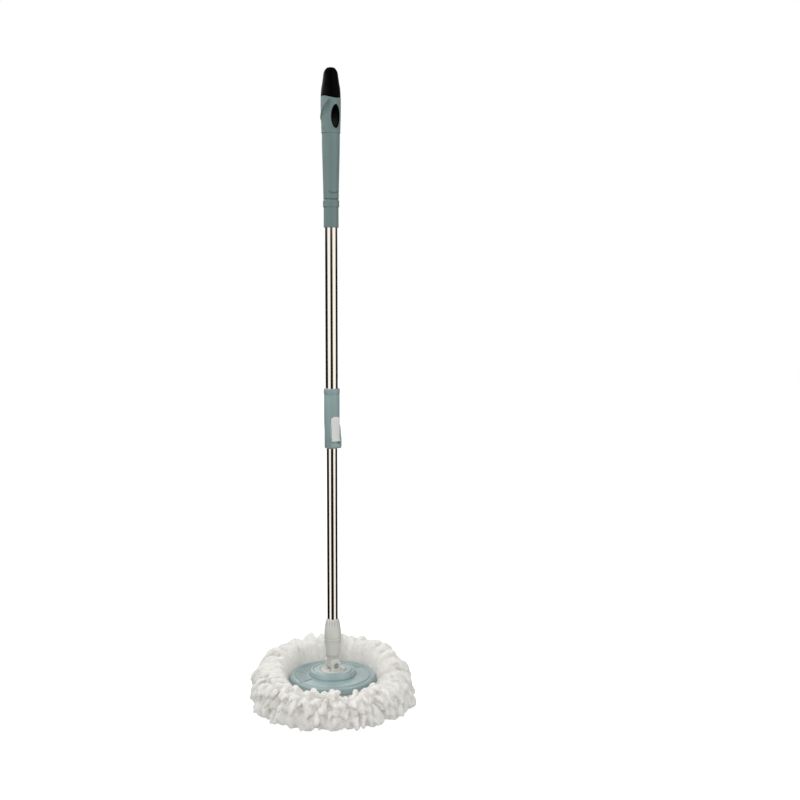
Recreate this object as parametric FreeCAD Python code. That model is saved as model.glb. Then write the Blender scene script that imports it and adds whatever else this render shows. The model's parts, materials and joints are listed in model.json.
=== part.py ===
"""Hand-press spin mop: telescopic twist-drive pole, tilting head and microfibre refill.

Frame: millimetres, +Z up along the pole, origin on the floor under the pole's axis.
The lock lever and the hanging hole face -Y, and the head tilts about an axis along Y.
"""
import FreeCAD, Part

import math
import os

from FreeCAD import Vector

# ---- driving dimensions: pole ----
STROKE = 300.0               # how far the handle presses down
SOCKET_LENGTH = 86.5         # tilt pin to the connector's top
STROKE_REST = 16.3           # lower tube still showing at full stroke
SLEEVE_LENGTH = 107.9
GRIP_LENGTH = 277.7          # grip and end cap together
UPPER_TUBE_D = 22.0
TUBE_WALL = 0.7
TUBE_PLAY = 1.6              # lower tube in the upper tube, across
TWIST_PITCH = 120.0          # height of one full twist of the drive bar
BAR_THICKNESS = 2.0

# ---- driving dimensions: head ----
PLATE_Z = 59.8               # flat ring of the mop plate above the floor
SKIRT_D = 164.0              # plate's lower edge
SKIRT_SLANT = 5.7            # skirt's spread below the plate's rim
SKIRT_HEIGHT = 12.1
PLATEAU_D = 81.0
PLATEAU_RISE = 8.9
PLATE_WALL = 2.4
FRINGE_REACH = 66.5          # strands past the skirt
FRINGE_CREST = 28.2          # strands above the plate's flat ring
PIN_D = 6.0
KNUCKLE_WIDTH = 14.0
CHEEK_THICKNESS = 6.0

# ---- clearances ----
SLIDE_GAP = 0.3              # round faces that slide or turn past each other
TURN_GAP = 0.3               # flat faces that turn past each other
PIN_GAP = 0.05               # shaft in its bore
SLOT_GAP = 0.3               # drive bar in the nut's slot
BUSH_GAP = 0.2               # guide bush in the upper tube and round the neck
TONGUE_GAP = 0.6             # knuckle's tongue above the dish
SCREW_GAP = 0.3              # screw heads beside the cheeks

# ---- heights of the head ----
TONGUE_R = 8.6
DISH_SINK = 0.3              # dish below the plateau's top
PLATEAU_Z = PLATE_Z + PLATEAU_RISE
DISH_TOP = PLATEAU_Z - DISH_SINK
PIN_Z = DISH_TOP + TONGUE_GAP + TONGUE_R

# ---- tubes ----
UPPER_R = UPPER_TUBE_D / 2
UPPER_BORE = UPPER_R - TUBE_WALL
LOWER_R = UPPER_BORE - TUBE_PLAY / 2
LOWER_BORE = LOWER_R - TUBE_WALL
TUBE_IN_SLEEVE = 46.0
TUBE_OVERLAP = 60.0          # lower tube above the lock sleeve when pulled out
SOCKET_TOP = PIN_Z + SOCKET_LENGTH
SLEEVE_BOTTOM = SOCKET_TOP + STROKE_REST + STROKE
SLEEVE_TOP = SLEEVE_BOTTOM + SLEEVE_LENGTH
UPPER_TUBE_BOTTOM = SLEEVE_TOP - TUBE_IN_SLEEVE

# ---- sliding drive at the lower tube's top ----
LOWER_TUBE_TOP = SLEEVE_TOP + TUBE_OVERLAP
TUBE_SEAT_Z = SOCKET_TOP - 36.8
HOUSING_DEPTH = 28.0         # nut housing inside the lower tube
FLANGE_HEIGHT = 2.7          # housing flange on the tube's end
NECK_HEIGHT = 11.0           # housing neck that carries the guide bush
NUT_CAP_HEIGHT = 3.0
BUSH_PLAY = 0.3              # guide bush between flange and nut cap
BUSH_WALL = 1.4
NECK_WALL = 1.6
NUT_WALL = 2.1               # nut outside the drive bar's edges
NUT_HEIGHT = 9.6
NUT_PLAY = 0.4               # nut under its cap
BORE_GAP = 0.6               # drive bar's corners in the housing
HOUSING_PIN_D = 3.0
NECK_R = UPPER_BORE - 2 * BUSH_GAP - BUSH_WALL
NUT_R = NECK_R - NECK_WALL - SLOT_GAP
BAR_WIDTH = 2 * (NUT_R - NUT_WALL)
BAR_BORE = math.hypot(BAR_WIDTH, BAR_THICKNESS) / 2 + BORE_GAP
FLANGE_Z = LOWER_TUBE_TOP
NECK_Z = FLANGE_Z + FLANGE_HEIGHT
NUT_CAP_Z = NECK_Z + NECK_HEIGHT
NUT_Z = NUT_CAP_Z - NUT_PLAY - NUT_HEIGHT

# ---- twist bar and its ends ----
STOP_HEIGHT = 4.0
STOP_GAP = 0.3               # stop washer under the nut housing
STOP_Z = LOWER_TUBE_TOP - HOUSING_DEPTH - STOP_GAP - STOP_HEIGHT
STOP_R = LOWER_BORE - 0.8
STOP_PIN_D = 2.0
ANCHOR_LENGTH = 18.0
ANCHOR_RIVET_D = 4.0
ANCHOR_ROOM = 46.5           # anchor plug above the nut's cap at full stroke
BAR_END = 2.0                # bar past the stop washer, and short of the plug's top
ANCHOR_Z = NUT_CAP_Z + NUT_CAP_HEIGHT + STROKE + ANCHOR_ROOM
UPPER_TUBE_TOP = ANCHOR_Z + ANCHOR_LENGTH
BAR_BOTTOM = STOP_Z - BAR_END
BAR_TOP = UPPER_TUBE_TOP - BAR_END

# ---- grip ----
COLLAR_LENGTH = 36.0
RING_LENGTH = 12.2
COLLAR_R = UPPER_R + 2.2
RING_R = COLLAR_R + 1.2
BELLY_R = COLLAR_R + 4.6     # grip at its widest
GRIP_WALL = 2.6
HOLE_BELOW_TOP = 85.6        # hanging hole's centre under the cap's top
HOLE_HEIGHT = 41.3
HOLE_WIDTH = 17.6
EYELET_WALL = 3.2
LIP_WIDTH = 1.6              # raised edge round the hanging hole
LIP_RISE = 0.7
TUBE_BELOW_HOLE = 16.4       # hanging hole above the upper tube's end
HOLE_Z = UPPER_TUBE_TOP + TUBE_BELOW_HOLE + HOLE_HEIGHT / 2
GRIP_TOP = HOLE_Z + HOLE_BELOW_TOP
GRIP_BOTTOM = GRIP_TOP - GRIP_LENGTH
CAP_EDGE_Z = GRIP_TOP - 52.0
CAP_WAVE = 2.2               # how far the cap's edge rises and dips round the grip
CAP_SPIGOT = 9.0

# ---- lock sleeve and lever ----
SLEEVE_R = UPPER_R + 3.0
SLEEVE_FOOT_R = LOWER_R + 3.8
SLEEVE_BORE = LOWER_R + SLIDE_GAP
LEVER_PIVOT_RISE = 14.6      # lever pin above the sleeve's bottom
LEVER_HEIGHT = 43.3          # lever pin to the lever's tip
LEVER_WIDTH = 16.8
LEVER_CORNER = 7.0
LEVER_HUB_R = 2.2
LEVER_PIN_D = 2.4
LEVER_GAP = 0.4              # room round the lever
LEVER_BACK_R = SLEEVE_BORE + 3.0
LEVER_FACE = LEVER_BACK_R + 2.6
FIN_THICKNESS = 2.2
SHOE_THICKNESS = 1.4
SHOE_WIDTH = 12.0
SHOE_RISE = 3.5              # shoe's foot above the lever pin
SHOE_HEIGHT = 17.0
SLEEVE_SCREW_D = 3.0
SLEEVE_SCREW_HEAD_D = 5.6
SLEEVE_SCREW_SINK = 1.6      # screw head's depth in the sleeve
PIVOT_Z = SLEEVE_BOTTOM + LEVER_PIVOT_RISE
PIVOT_Y = -(LEVER_FACE - LEVER_HUB_R)

# ---- connector ----
KNUCKLE_RISE = 18.5          # knuckle's round foot above the tilt pin
SPIGOT_R = LOWER_R + 2.0
BARREL_Z = SOCKET_TOP - 42.5
SPIGOT_TOP = SOCKET_TOP - 20.8
CONNECTOR_SCREW_Z = SOCKET_TOP - 14.5
CONNECTOR_SCREW_D = 2.8
CONNECTOR_SCREW_HEAD_D = 5.2
CONNECTOR_SCREW_SEAT = LOWER_R + 1.8

# ---- fork, dish and swivel ----
CHEEK_GAP = 0.5              # knuckle between the cheeks, each side
CHEEK_R = 9.5
CHEEK_HALF = 8.5
CHEEK_INNER = KNUCKLE_WIDTH / 2 + CHEEK_GAP
CHEEK_OUTER = CHEEK_INNER + CHEEK_THICKNESS
PIN_HEAD_D = 10.0
PIN_HEAD_HEIGHT = 1.6
PIN_HEAD_GAP = 0.2
BASE_SCREW_D = 3.0
BASE_SCREW_HEAD_D = 5.0
BASE_SCREW_RING = (CHEEK_HALF + BASE_SCREW_HEAD_D / 2 + SCREW_GAP) * math.sqrt(2)
BASE_SCREW_ANGLES = (45, 135, 225, 315)
HUB_R = BASE_SCREW_RING + BASE_SCREW_D / 2 + 1.5
DISH_R = HUB_R + 4.0
DISH_THICKNESS = 2.9
SEAT_Z = DISH_TOP - DISH_THICKNESS - TURN_GAP
FLANGE_THICKNESS = 6.0
SWIVEL_TOP = SEAT_Z - FLANGE_THICKNESS
WASHER_HEIGHT = 0.8
RETAINER_HEIGHT = 3.0
RETAINER_Z = SWIVEL_TOP - TURN_GAP - WASHER_HEIGHT - RETAINER_HEIGHT

# ---- refill ----
SKIRT_R = SKIRT_D / 2
SKIRT_Z = PLATE_Z - SKIRT_HEIGHT
CLIP_WALL_R = SKIRT_R - 18.0   # plate's clip wall that the refill pushes onto
REFILL_R = SKIRT_R - 3.0
REFILL_THICKNESS = 3.0
BAND_THICKNESS = 2.8         # strands clamped between the refill's rings
BAND_Z = SKIRT_Z - 7.0
RIVET_COUNT = 12
RIVET_RING = (CLIP_WALL_R + REFILL_R + 1.0) / 2
RIVET_D = 4.0
FRINGE_R = SKIRT_R + FRINGE_REACH
FRINGE_HEIGHT = PLATE_Z + FRINGE_CREST


# ---- shapes ----
def cylinder(radius, low, high):
    return Part.makeCylinder(radius, high - low, Vector(0, 0, low))


def ring(outer, inner, low, high):
    return cylinder(outer, low, high).cut(cylinder(inner, low, high))


def box(x_low, x_high, y_low, y_high, z_low, z_high):
    corner = Vector(x_low, y_low, z_low)
    return Part.makeBox(x_high - x_low, y_high - y_low, z_high - z_low, corner)


def rod(start, end, radius):
    """A round bar from one point to another."""
    along = end.sub(start)
    return Part.makeCylinder(radius, along.Length, start, along)


def turned(points):
    """Turn a closed outline of (radius, height) points about the pole's axis."""
    corners = [Vector(radius, 0, height) for radius, height in points]
    outline = Part.makePolygon(corners + corners[:1])
    return Part.Face(outline).revolve(Vector(), Vector(0, 0, 1), 360)


def turned_curve(points, inner=0.0):
    """Turn a smooth curve of (radius, height) points, closed straight back to the inner radius."""
    curve = Part.BSplineCurve()
    curve.interpolate([Vector(radius, 0, height) for radius, height in points])
    low = points[0][1]
    high = points[-1][1]
    ends = [points[-1], (inner, high), (inner, low), points[0]]
    corners = [Vector(radius, 0, height) for radius, height in ends]
    sides = [Part.makeLine(a, b) for a, b in zip(corners, corners[1:]) if a.distanceToPoint(b) > 1e-6]
    outline = Part.Wire([curve.toShape()] + sides)
    return Part.Face(outline).revolve(Vector(), Vector(0, 0, 1), 360)


def turn(shape, degrees):
    """A copy of a shape turned about the pole's axis."""
    copy = shape.copy()
    copy.rotate(Vector(), Vector(0, 0, 1), degrees)
    return copy


def around(shape, count, first=0.0):
    """Copies of a shape spaced evenly about the pole's axis, as one group."""
    return Part.makeCompound([turn(shape, first + 360 * index / count) for index in range(count)])


def side_plate(outline, x_low, x_high):
    """A plate that is flat across X, from an outline of (y, z) points."""
    corners = [Vector(x_low, y, z) for y, z in outline]
    face = Part.Face(Part.makePolygon(corners + corners[:1]))
    return face.extrude(Vector(x_high - x_low, 0, 0))


def front_plate(width, low, high, corner, y_low, y_high):
    """A plate that is flat across Y, its top corners rounded."""
    half = width / 2
    bevel = corner * (1 - math.sqrt(0.5))
    left = Part.Arc(Vector(-half, y_low, high - corner), Vector(-half + bevel, y_low, high - bevel),
                    Vector(-half + corner, y_low, high))
    right = Part.Arc(Vector(half - corner, y_low, high), Vector(half - bevel, y_low, high - bevel),
                     Vector(half, y_low, high - corner))
    edges = [
        Part.makeLine(Vector(-half, y_low, low), Vector(-half, y_low, high - corner)),
        left.toShape(),
        Part.makeLine(Vector(-half + corner, y_low, high), Vector(half - corner, y_low, high)),
        right.toShape(),
        Part.makeLine(Vector(half, y_low, high - corner), Vector(half, y_low, low)),
        Part.makeLine(Vector(half, y_low, low), Vector(-half, y_low, low)),
    ]
    return Part.Face(Part.Wire(edges)).extrude(Vector(0, y_high - y_low, 0))


def oval(height, width, y_low, y_high, centre_z):
    """An oval bar along Y."""
    ellipse = Part.Ellipse(Vector(), height / 2, width / 2).toShape()
    face = Part.Face(Part.Wire([ellipse]))
    face.rotate(Vector(), Vector(0, 1, 0), 90)
    face.rotate(Vector(), Vector(0, 0, 1), 90)
    face.translate(Vector(0, y_low, centre_z))
    return face.extrude(Vector(0, y_high - y_low, 0))


def twisted(width, thickness, low, high):
    """A flat bar twisted about the pole's axis, square to X at the nut's middle height."""
    half_w = width / 2
    half_t = thickness / 2
    corners = [Vector(-half_w, -half_t, 0), Vector(half_w, -half_t, 0),
               Vector(half_w, half_t, 0), Vector(-half_w, half_t, 0)]
    spine = Part.Wire([Part.makeLine(Vector(), Vector(0, 0, high - low))])
    guide = Part.Wire(Part.makeHelix(TWIST_PITCH, high - low, width).Edges)
    sweep = Part.BRepOffsetAPI.MakePipeShell(spine)
    sweep.setAuxiliarySpine(guide, True, 0)
    sweep.add(Part.makePolygon(corners + corners[:1]), False, False)
    sweep.build()
    sweep.makeSolid()
    bar = turn(sweep.shape(), twist_angle(low))
    bar.translate(Vector(0, 0, low))
    return bar


def twist_angle(height):
    """How far the drive bar has turned at a height, in degrees."""
    return 360 * (height - NUT_Z - NUT_HEIGHT / 2) / TWIST_PITCH


def across_bar(radius, reach, height):
    """A round pin through the flat of the drive bar."""
    pin = rod(Vector(0, -reach, height), Vector(0, reach, height), radius)
    return turn(pin, twist_angle(height))


def above_cap_edge(radius):
    """All that lies above the wavy joint between the grip and its cap."""
    span = 2 * radius
    rise = CAP_WAVE * (span / radius) ** 2
    near = Part.makeLine(Vector(span, 0, CAP_EDGE_Z + rise), Vector(0, span, CAP_EDGE_Z - rise))
    far = Part.makeLine(Vector(0, -span, CAP_EDGE_Z - rise), Vector(-span, 0, CAP_EDGE_Z + rise))
    saddle = Part.makeRuledSurface(near, far)
    return saddle.extrude(Vector(0, 0, GRIP_TOP))


def grip_curve(inset):
    """The grip's swelling upper part and the cap's dome, drawn in by an inset."""
    sides = [(1.3, 113.6), (0.8, 103.0), (0.3, 84.0), (0.0, 66.0), (0.1, 52.0), (0.9, 37.5),
             (2.5, 27.5), (4.7, 13.0)]
    crown = [(6.6, 7.0), (10.2, 2.0)]
    points = [(BELLY_R - inset - inward, GRIP_TOP - drop) for inward, drop in sides]
    points += [(BELLY_R - inset - inward, GRIP_TOP - inset - drop) for inward, drop in crown]
    return points + [(0.01, GRIP_TOP - inset)]


# ---- handle ----
def grip_outside():
    ledge_z = grip_curve(0)[0][1]
    ring_z = GRIP_BOTTOM + COLLAR_LENGTH
    ring_top = ring_z + RING_LENGTH
    collar = turned([(0, GRIP_BOTTOM), (COLLAR_R - 0.6, GRIP_BOTTOM), (COLLAR_R, GRIP_BOTTOM + 0.8),
                     (COLLAR_R, ring_z), (0, ring_z)])
    bead = turned([(0, ring_z), (RING_R - 0.5, ring_z), (RING_R, ring_z + 1.5), (RING_R, ring_top - 2.5),
                   (COLLAR_R + 0.4, ring_top), (0, ring_top)])
    rise = ledge_z - ring_top
    neck = [(COLLAR_R + 0.4, ring_top), (COLLAR_R + 0.8, ring_top + 0.216 * rise),
            (COLLAR_R + 1.7, ring_top + 0.518 * rise), (COLLAR_R + 2.4, ring_top + 0.777 * rise),
            (COLLAR_R + 2.7, ledge_z + 0.5)]
    return collar.fuse([bead, turned_curve(neck), turned_curve(grip_curve(0))]).removeSplitter()


def hanging_lip():
    """The raised edge round the hanging hole."""
    proud = turned_curve(grip_curve(-LIP_RISE))
    reach = 2 * UPPER_TUBE_D
    return oval(HOLE_HEIGHT + 2 * LIP_WIDTH, HOLE_WIDTH + 2 * LIP_WIDTH, -reach, reach, HOLE_Z).common(proud)


def grip():
    reach = 2 * UPPER_TUBE_D
    body = grip_outside().fuse(hanging_lip()).cut(above_cap_edge(reach))
    cavity = turned_curve(grip_curve(GRIP_WALL))
    bridge = cylinder(reach, GRIP_BOTTOM, HOLE_Z + HOLE_HEIGHT / 2 + GRIP_WALL)
    body = body.cut(cavity.cut(bridge))
    body = body.cut(cylinder(UPPER_R, GRIP_BOTTOM, UPPER_TUBE_TOP))
    return body.cut(oval(HOLE_HEIGHT, HOLE_WIDTH, -reach, reach, HOLE_Z))


def end_cap():
    reach = 2 * UPPER_TUBE_D
    upper = above_cap_edge(reach)
    dome = turned_curve(grip_curve(0)).common(upper)
    spigot = turned_curve(grip_curve(GRIP_WALL))
    below = cylinder(reach, GRIP_BOTTOM, CAP_EDGE_Z - CAP_SPIGOT)
    hollow = turned_curve(grip_curve(2 * GRIP_WALL)).cut(below)
    return dome.fuse(spigot.cut(below)).cut(hollow)


def hang_eyelet():
    """Rubber sleeve that lines the hanging hole."""
    reach = 2 * UPPER_TUBE_D
    sleeve = oval(HOLE_HEIGHT, HOLE_WIDTH, -reach, reach, HOLE_Z)
    clear = oval(HOLE_HEIGHT - 2 * EYELET_WALL, HOLE_WIDTH - 2 * EYELET_WALL, -reach, reach, HOLE_Z)
    return sleeve.cut(clear).common(turned_curve(grip_curve(0.5)))


def upper_tube():
    tube = ring(UPPER_R, UPPER_BORE, UPPER_TUBE_BOTTOM, UPPER_TUBE_TOP)
    tube = tube.cut(across_bar(ANCHOR_RIVET_D / 2, UPPER_TUBE_D, anchor_rivet_z()))
    return tube.cut(sleeve_screw_shank())


def anchor_rivet_z():
    return ANCHOR_Z + ANCHOR_LENGTH / 2


def bar_anchor():
    """Plug at the top of the upper tube that holds the drive bar."""
    plug = cylinder(UPPER_BORE, ANCHOR_Z, UPPER_TUBE_TOP)
    plug = plug.cut(twisted(BAR_WIDTH, BAR_THICKNESS, ANCHOR_Z, BAR_TOP))
    return plug.cut(across_bar(ANCHOR_RIVET_D / 2, UPPER_TUBE_D, anchor_rivet_z()))


def anchor_rivet():
    rivet = across_bar(ANCHOR_RIVET_D / 2, UPPER_R, anchor_rivet_z())
    return rivet.common(cylinder(UPPER_R, ANCHOR_Z, UPPER_TUBE_TOP))


def twist_bar():
    bar = twisted(BAR_WIDTH, BAR_THICKNESS, BAR_BOTTOM, BAR_TOP)
    bar = bar.cut(across_bar(ANCHOR_RIVET_D / 2, UPPER_TUBE_D, anchor_rivet_z()))
    return bar.cut(across_bar(STOP_PIN_D / 2, UPPER_TUBE_D, STOP_Z + STOP_HEIGHT / 2))


def stop_washer():
    """Washer at the drive bar's foot that keeps the tubes from pulling apart."""
    washer = cylinder(STOP_R, STOP_Z, STOP_Z + STOP_HEIGHT)
    washer = washer.cut(twisted(BAR_WIDTH, BAR_THICKNESS, STOP_Z - 1, STOP_Z + STOP_HEIGHT + 1))
    return washer.cut(across_bar(STOP_PIN_D / 2, UPPER_TUBE_D, STOP_Z + STOP_HEIGHT / 2))


def stop_pin():
    return across_bar(STOP_PIN_D / 2, STOP_R - 0.3, STOP_Z + STOP_HEIGHT / 2)


# ---- lock sleeve and lever ----
def sleeve_fin(side):
    """Cheek of the lock sleeve beside the lever, which carries the lever's pin."""
    inner = fin_inner()
    face = LEVER_FACE + 0.5
    root = math.sqrt(SLEEVE_FOOT_R ** 2 - inner ** 2) - 1.2
    outline = [(-root, SLEEVE_BOTTOM), (-LEVER_FACE + 2.2, SLEEVE_BOTTOM), (-face, SLEEVE_BOTTOM + 4.5),
               (-face, PIVOT_Z + 2.0), (-root - 2.7, PIVOT_Z + 28), (-root, PIVOT_Z + 28)]
    low = min(side * inner, side * (inner + FIN_THICKNESS))
    return side_plate(outline, low, low + FIN_THICKNESS)


def fin_inner():
    return LEVER_WIDTH / 2 + LEVER_GAP


def lever_recess():
    """Room for the lever in the front of the sleeve."""
    front = front_plate(2 * fin_inner(), SLEEVE_BOTTOM + 2.0, PIVOT_Z + LEVER_HEIGHT + LEVER_GAP,
                        LEVER_CORNER + LEVER_GAP, -2 * SLEEVE_R, -4)
    return front.cut(cylinder(LEVER_BACK_R - LEVER_GAP, SLEEVE_BOTTOM, SLEEVE_TOP))


def hub_pocket():
    """Room for the lever's round foot in the sleeve's wall."""
    reach = fin_inner()
    return rod(Vector(-reach, PIVOT_Y, PIVOT_Z), Vector(reach, PIVOT_Y, PIVOT_Z), LEVER_HUB_R + LEVER_GAP)


def shoe_window():
    low = PIVOT_Z + SHOE_RISE
    return box(-SHOE_WIDTH / 2, SHOE_WIDTH / 2, -SLEEVE_R, -4, low, low + SHOE_HEIGHT)


def sleeve_screw_z():
    return SLEEVE_TOP - TUBE_IN_SLEEVE / 2


def sleeve_screw_shank():
    end = Vector(0, SLEEVE_R - SLEEVE_SCREW_SINK, sleeve_screw_z())
    return rod(Vector(0, UPPER_BORE, sleeve_screw_z()), end, SLEEVE_SCREW_D / 2)


def sleeve_screw():
    height = sleeve_screw_z()
    low = Vector(0, SLEEVE_R - SLEEVE_SCREW_SINK, height)
    head = rod(low, Vector(0, SLEEVE_R - 0.3, height), SLEEVE_SCREW_HEAD_D / 2)
    slot = box(-2.0, 2.0, SLEEVE_R - 0.9, SLEEVE_R, height - 0.4, height + 0.4)
    return head.cut(slot).fuse(sleeve_screw_shank())


def lock_sleeve():
    groove_z = SLEEVE_TOP - 10.8
    shell = turned([(0, SLEEVE_BOTTOM), (SLEEVE_FOOT_R - 0.8, SLEEVE_BOTTOM),
                    (SLEEVE_FOOT_R, SLEEVE_BOTTOM + 1.2), (SLEEVE_FOOT_R, SLEEVE_BOTTOM + 30),
                    (SLEEVE_R, SLEEVE_BOTTOM + 52),
                    (SLEEVE_R, groove_z - 0.5), (SLEEVE_R - 0.5, groove_z), (SLEEVE_R, groove_z + 0.5),
                    (SLEEVE_R + 0.4, groove_z + 1.2), (SLEEVE_R + 0.4, SLEEVE_TOP - 0.8),
                    (SLEEVE_R - 0.4, SLEEVE_TOP), (0, SLEEVE_TOP)])
    shell = shell.cut([lever_recess(), hub_pocket()])
    block_back = LEVER_BACK_R - 1.5
    block = box(-fin_inner(), fin_inner(), -block_back - 2.6, -block_back + 3,
                SLEEVE_BOTTOM + 2.0, SLEEVE_BOTTOM + 8.6)
    shell = shell.fuse([sleeve_fin(-1), sleeve_fin(1), block])
    shell = shell.cut(cylinder(SLEEVE_BORE, SLEEVE_BOTTOM, UPPER_TUBE_BOTTOM))
    shell = shell.cut(cylinder(UPPER_R, UPPER_TUBE_BOTTOM, SLEEVE_TOP))
    shell = shell.cut(shoe_window())
    seat = Vector(0, SLEEVE_R - SLEEVE_SCREW_SINK, sleeve_screw_z())
    head_hole = rod(seat, Vector(0, 2 * SLEEVE_R, sleeve_screw_z()), SLEEVE_SCREW_HEAD_D / 2)
    return shell.cut([lever_pin(), sleeve_screw_shank(), head_hole])


def lever_pin():
    reach = fin_inner() + FIN_THICKNESS
    return rod(Vector(-reach, PIVOT_Y, PIVOT_Z), Vector(reach, PIVOT_Y, PIVOT_Z), LEVER_PIN_D / 2)


def lock_lever():
    """Curved lever with a round foot about its pin and a lobe that presses the brake shoe."""
    half = LEVER_WIDTH / 2
    plate = front_plate(LEVER_WIDTH, PIVOT_Z, PIVOT_Z + LEVER_HEIGHT, LEVER_CORNER, -2 * SLEEVE_R, -4)
    face_r = 22.0
    face = Part.makeCylinder(face_r, LEVER_HEIGHT, Vector(0, face_r - LEVER_FACE, PIVOT_Z))
    tip = PIVOT_Z + LEVER_HEIGHT
    bevel_outline = [(-LEVER_FACE - 1, tip - 14), (-LEVER_FACE, tip - 14), (-LEVER_FACE + 1.6, tip),
                     (-LEVER_FACE - 1, tip)]
    top_bevel = side_plate(bevel_outline, -half, half)
    shell = plate.common(face).cut([cylinder(LEVER_BACK_R, PIVOT_Z, tip), top_bevel])
    hub = rod(Vector(-half, PIVOT_Y, PIVOT_Z), Vector(half, PIVOT_Y, PIVOT_Z), LEVER_HUB_R)
    lobe = box(-5.5, 5.5, -LEVER_BACK_R - 0.5, -SLEEVE_BORE - SHOE_THICKNESS, PIVOT_Z + 4.5, PIVOT_Z + 12.5)
    bore = rod(Vector(-half, PIVOT_Y, PIVOT_Z), Vector(half, PIVOT_Y, PIVOT_Z), LEVER_PIN_D / 2 + PIN_GAP)
    return shell.fuse([hub, lobe]).cut(bore).removeSplitter()


def brake_shoe():
    """Pad between the lever's lobe and the lower tube."""
    pad = ring(SLEEVE_BORE + SHOE_THICKNESS - 0.15, SLEEVE_BORE, SLEEVE_BOTTOM, SLEEVE_TOP)
    return pad.common(shoe_window())


# ---- sliding drive at the lower tube's top ----
def guide_bush():
    return ring(UPPER_BORE - BUSH_GAP, NECK_R + BUSH_GAP, NECK_Z + BUSH_PLAY, NUT_CAP_Z - BUSH_PLAY)


def nut_housing():
    plug_z = LOWER_TUBE_TOP - HOUSING_DEPTH
    body = cylinder(LOWER_BORE, plug_z, FLANGE_Z)
    flange = cylinder(LOWER_R, FLANGE_Z, NECK_Z)
    body = body.fuse([flange, cylinder(NECK_R, NECK_Z, NUT_CAP_Z)]).removeSplitter()
    body = body.cut(cylinder(NUT_R + SLOT_GAP, NUT_Z, NUT_CAP_Z))
    body = body.cut(cylinder(BAR_BORE, plug_z, NUT_CAP_Z))
    keys = around(box(BAR_BORE - 1, NUT_R + SLOT_GAP, -1.2, 1.2, NUT_Z - 1.3, NUT_Z), 4, 45)
    return body.cut([keys] + housing_pins())


def housing_pins():
    height = LOWER_TUBE_TOP - HOUSING_DEPTH / 2
    pin = rod(Vector(BAR_BORE + 0.8, 0, height), Vector(LOWER_R, 0, height), HOUSING_PIN_D / 2)
    pin = pin.common(cylinder(LOWER_R, TUBE_SEAT_Z, LOWER_TUBE_TOP))
    return [pin, turn(pin, 180)]


def housing_pin_pair():
    return Part.makeCompound(housing_pins())


def drive_nut():
    """Nut with a twisted slot, keyed into the housing by four dogs."""
    body = cylinder(NUT_R, NUT_Z, NUT_Z + NUT_HEIGHT)
    dogs = around(box(BAR_BORE, NUT_R - 0.2, -1.0, 1.0, NUT_Z - 1.1, NUT_Z + 1), 4, 45)
    slot = twisted(BAR_WIDTH + 2 * SLOT_GAP, BAR_THICKNESS + 2 * SLOT_GAP, NUT_Z - 2, NUT_Z + NUT_HEIGHT + 1)
    return body.fuse(dogs.Solids).removeSplitter().cut(slot)


def nut_cap():
    skirt = ring(LOWER_R, NECK_R, NUT_CAP_Z, NUT_CAP_Z + NUT_CAP_HEIGHT - 1.2)
    lid = cylinder(LOWER_R, NUT_CAP_Z, NUT_CAP_Z + NUT_CAP_HEIGHT)
    return lid.fuse(skirt).cut(cylinder(BAR_BORE, NUT_CAP_Z, NUT_CAP_Z + NUT_CAP_HEIGHT)).removeSplitter()


def lower_tube():
    tube = ring(LOWER_R, LOWER_BORE, TUBE_SEAT_Z, LOWER_TUBE_TOP)
    return tube.cut(housing_pins() + [connector_screw_shank()])


# ---- connector ----
def connector_screw_shank():
    start = Vector(0, LOWER_BORE - 2.5, CONNECTOR_SCREW_Z)
    return rod(start, Vector(0, CONNECTOR_SCREW_SEAT, CONNECTOR_SCREW_Z), CONNECTOR_SCREW_D / 2)


def connector_screw():
    start = Vector(0, CONNECTOR_SCREW_SEAT, CONNECTOR_SCREW_Z)
    head = rod(start, start.add(Vector(0, 1.6, 0)), CONNECTOR_SCREW_HEAD_D / 2)
    slot = box(-1.9, 1.9, start.y + 1, start.y + 2, start.z - 0.4, start.z + 0.4)
    return head.cut(slot).fuse(connector_screw_shank())


def connector_barrel():
    """Swelling upper half of the connector, slipped over the tube and the knuckle's spigot."""
    shoulder = SOCKET_TOP - 5.8
    curve = [(LOWER_R + 5.5, BARREL_Z), (LOWER_R + 5.85, BARREL_Z + 10), (LOWER_R + 5.6, SOCKET_TOP - 22),
             (LOWER_R + 4.6, SOCKET_TOP - 14), (LOWER_R + 3.3, shoulder)]
    body = turned_curve(curve)
    mouth = turned([(0, shoulder), (LOWER_R + 3.3, shoulder), (LOWER_R + 1.3, SOCKET_TOP - 0.6),
                    (LOWER_R + 0.9, SOCKET_TOP), (0, SOCKET_TOP)])
    body = body.fuse(mouth).cut(cylinder(SPIGOT_R, BARREL_Z, SPIGOT_TOP))
    body = body.cut(cylinder(LOWER_R, SPIGOT_TOP, SOCKET_TOP))
    seat = Vector(0, CONNECTOR_SCREW_SEAT, CONNECTOR_SCREW_Z)
    head_hole = rod(seat, Vector(0, UPPER_TUBE_D, CONNECTOR_SCREW_Z), CONNECTOR_SCREW_HEAD_D / 2)
    return body.cut([head_hole, connector_screw_shank()]).removeSplitter()


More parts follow.
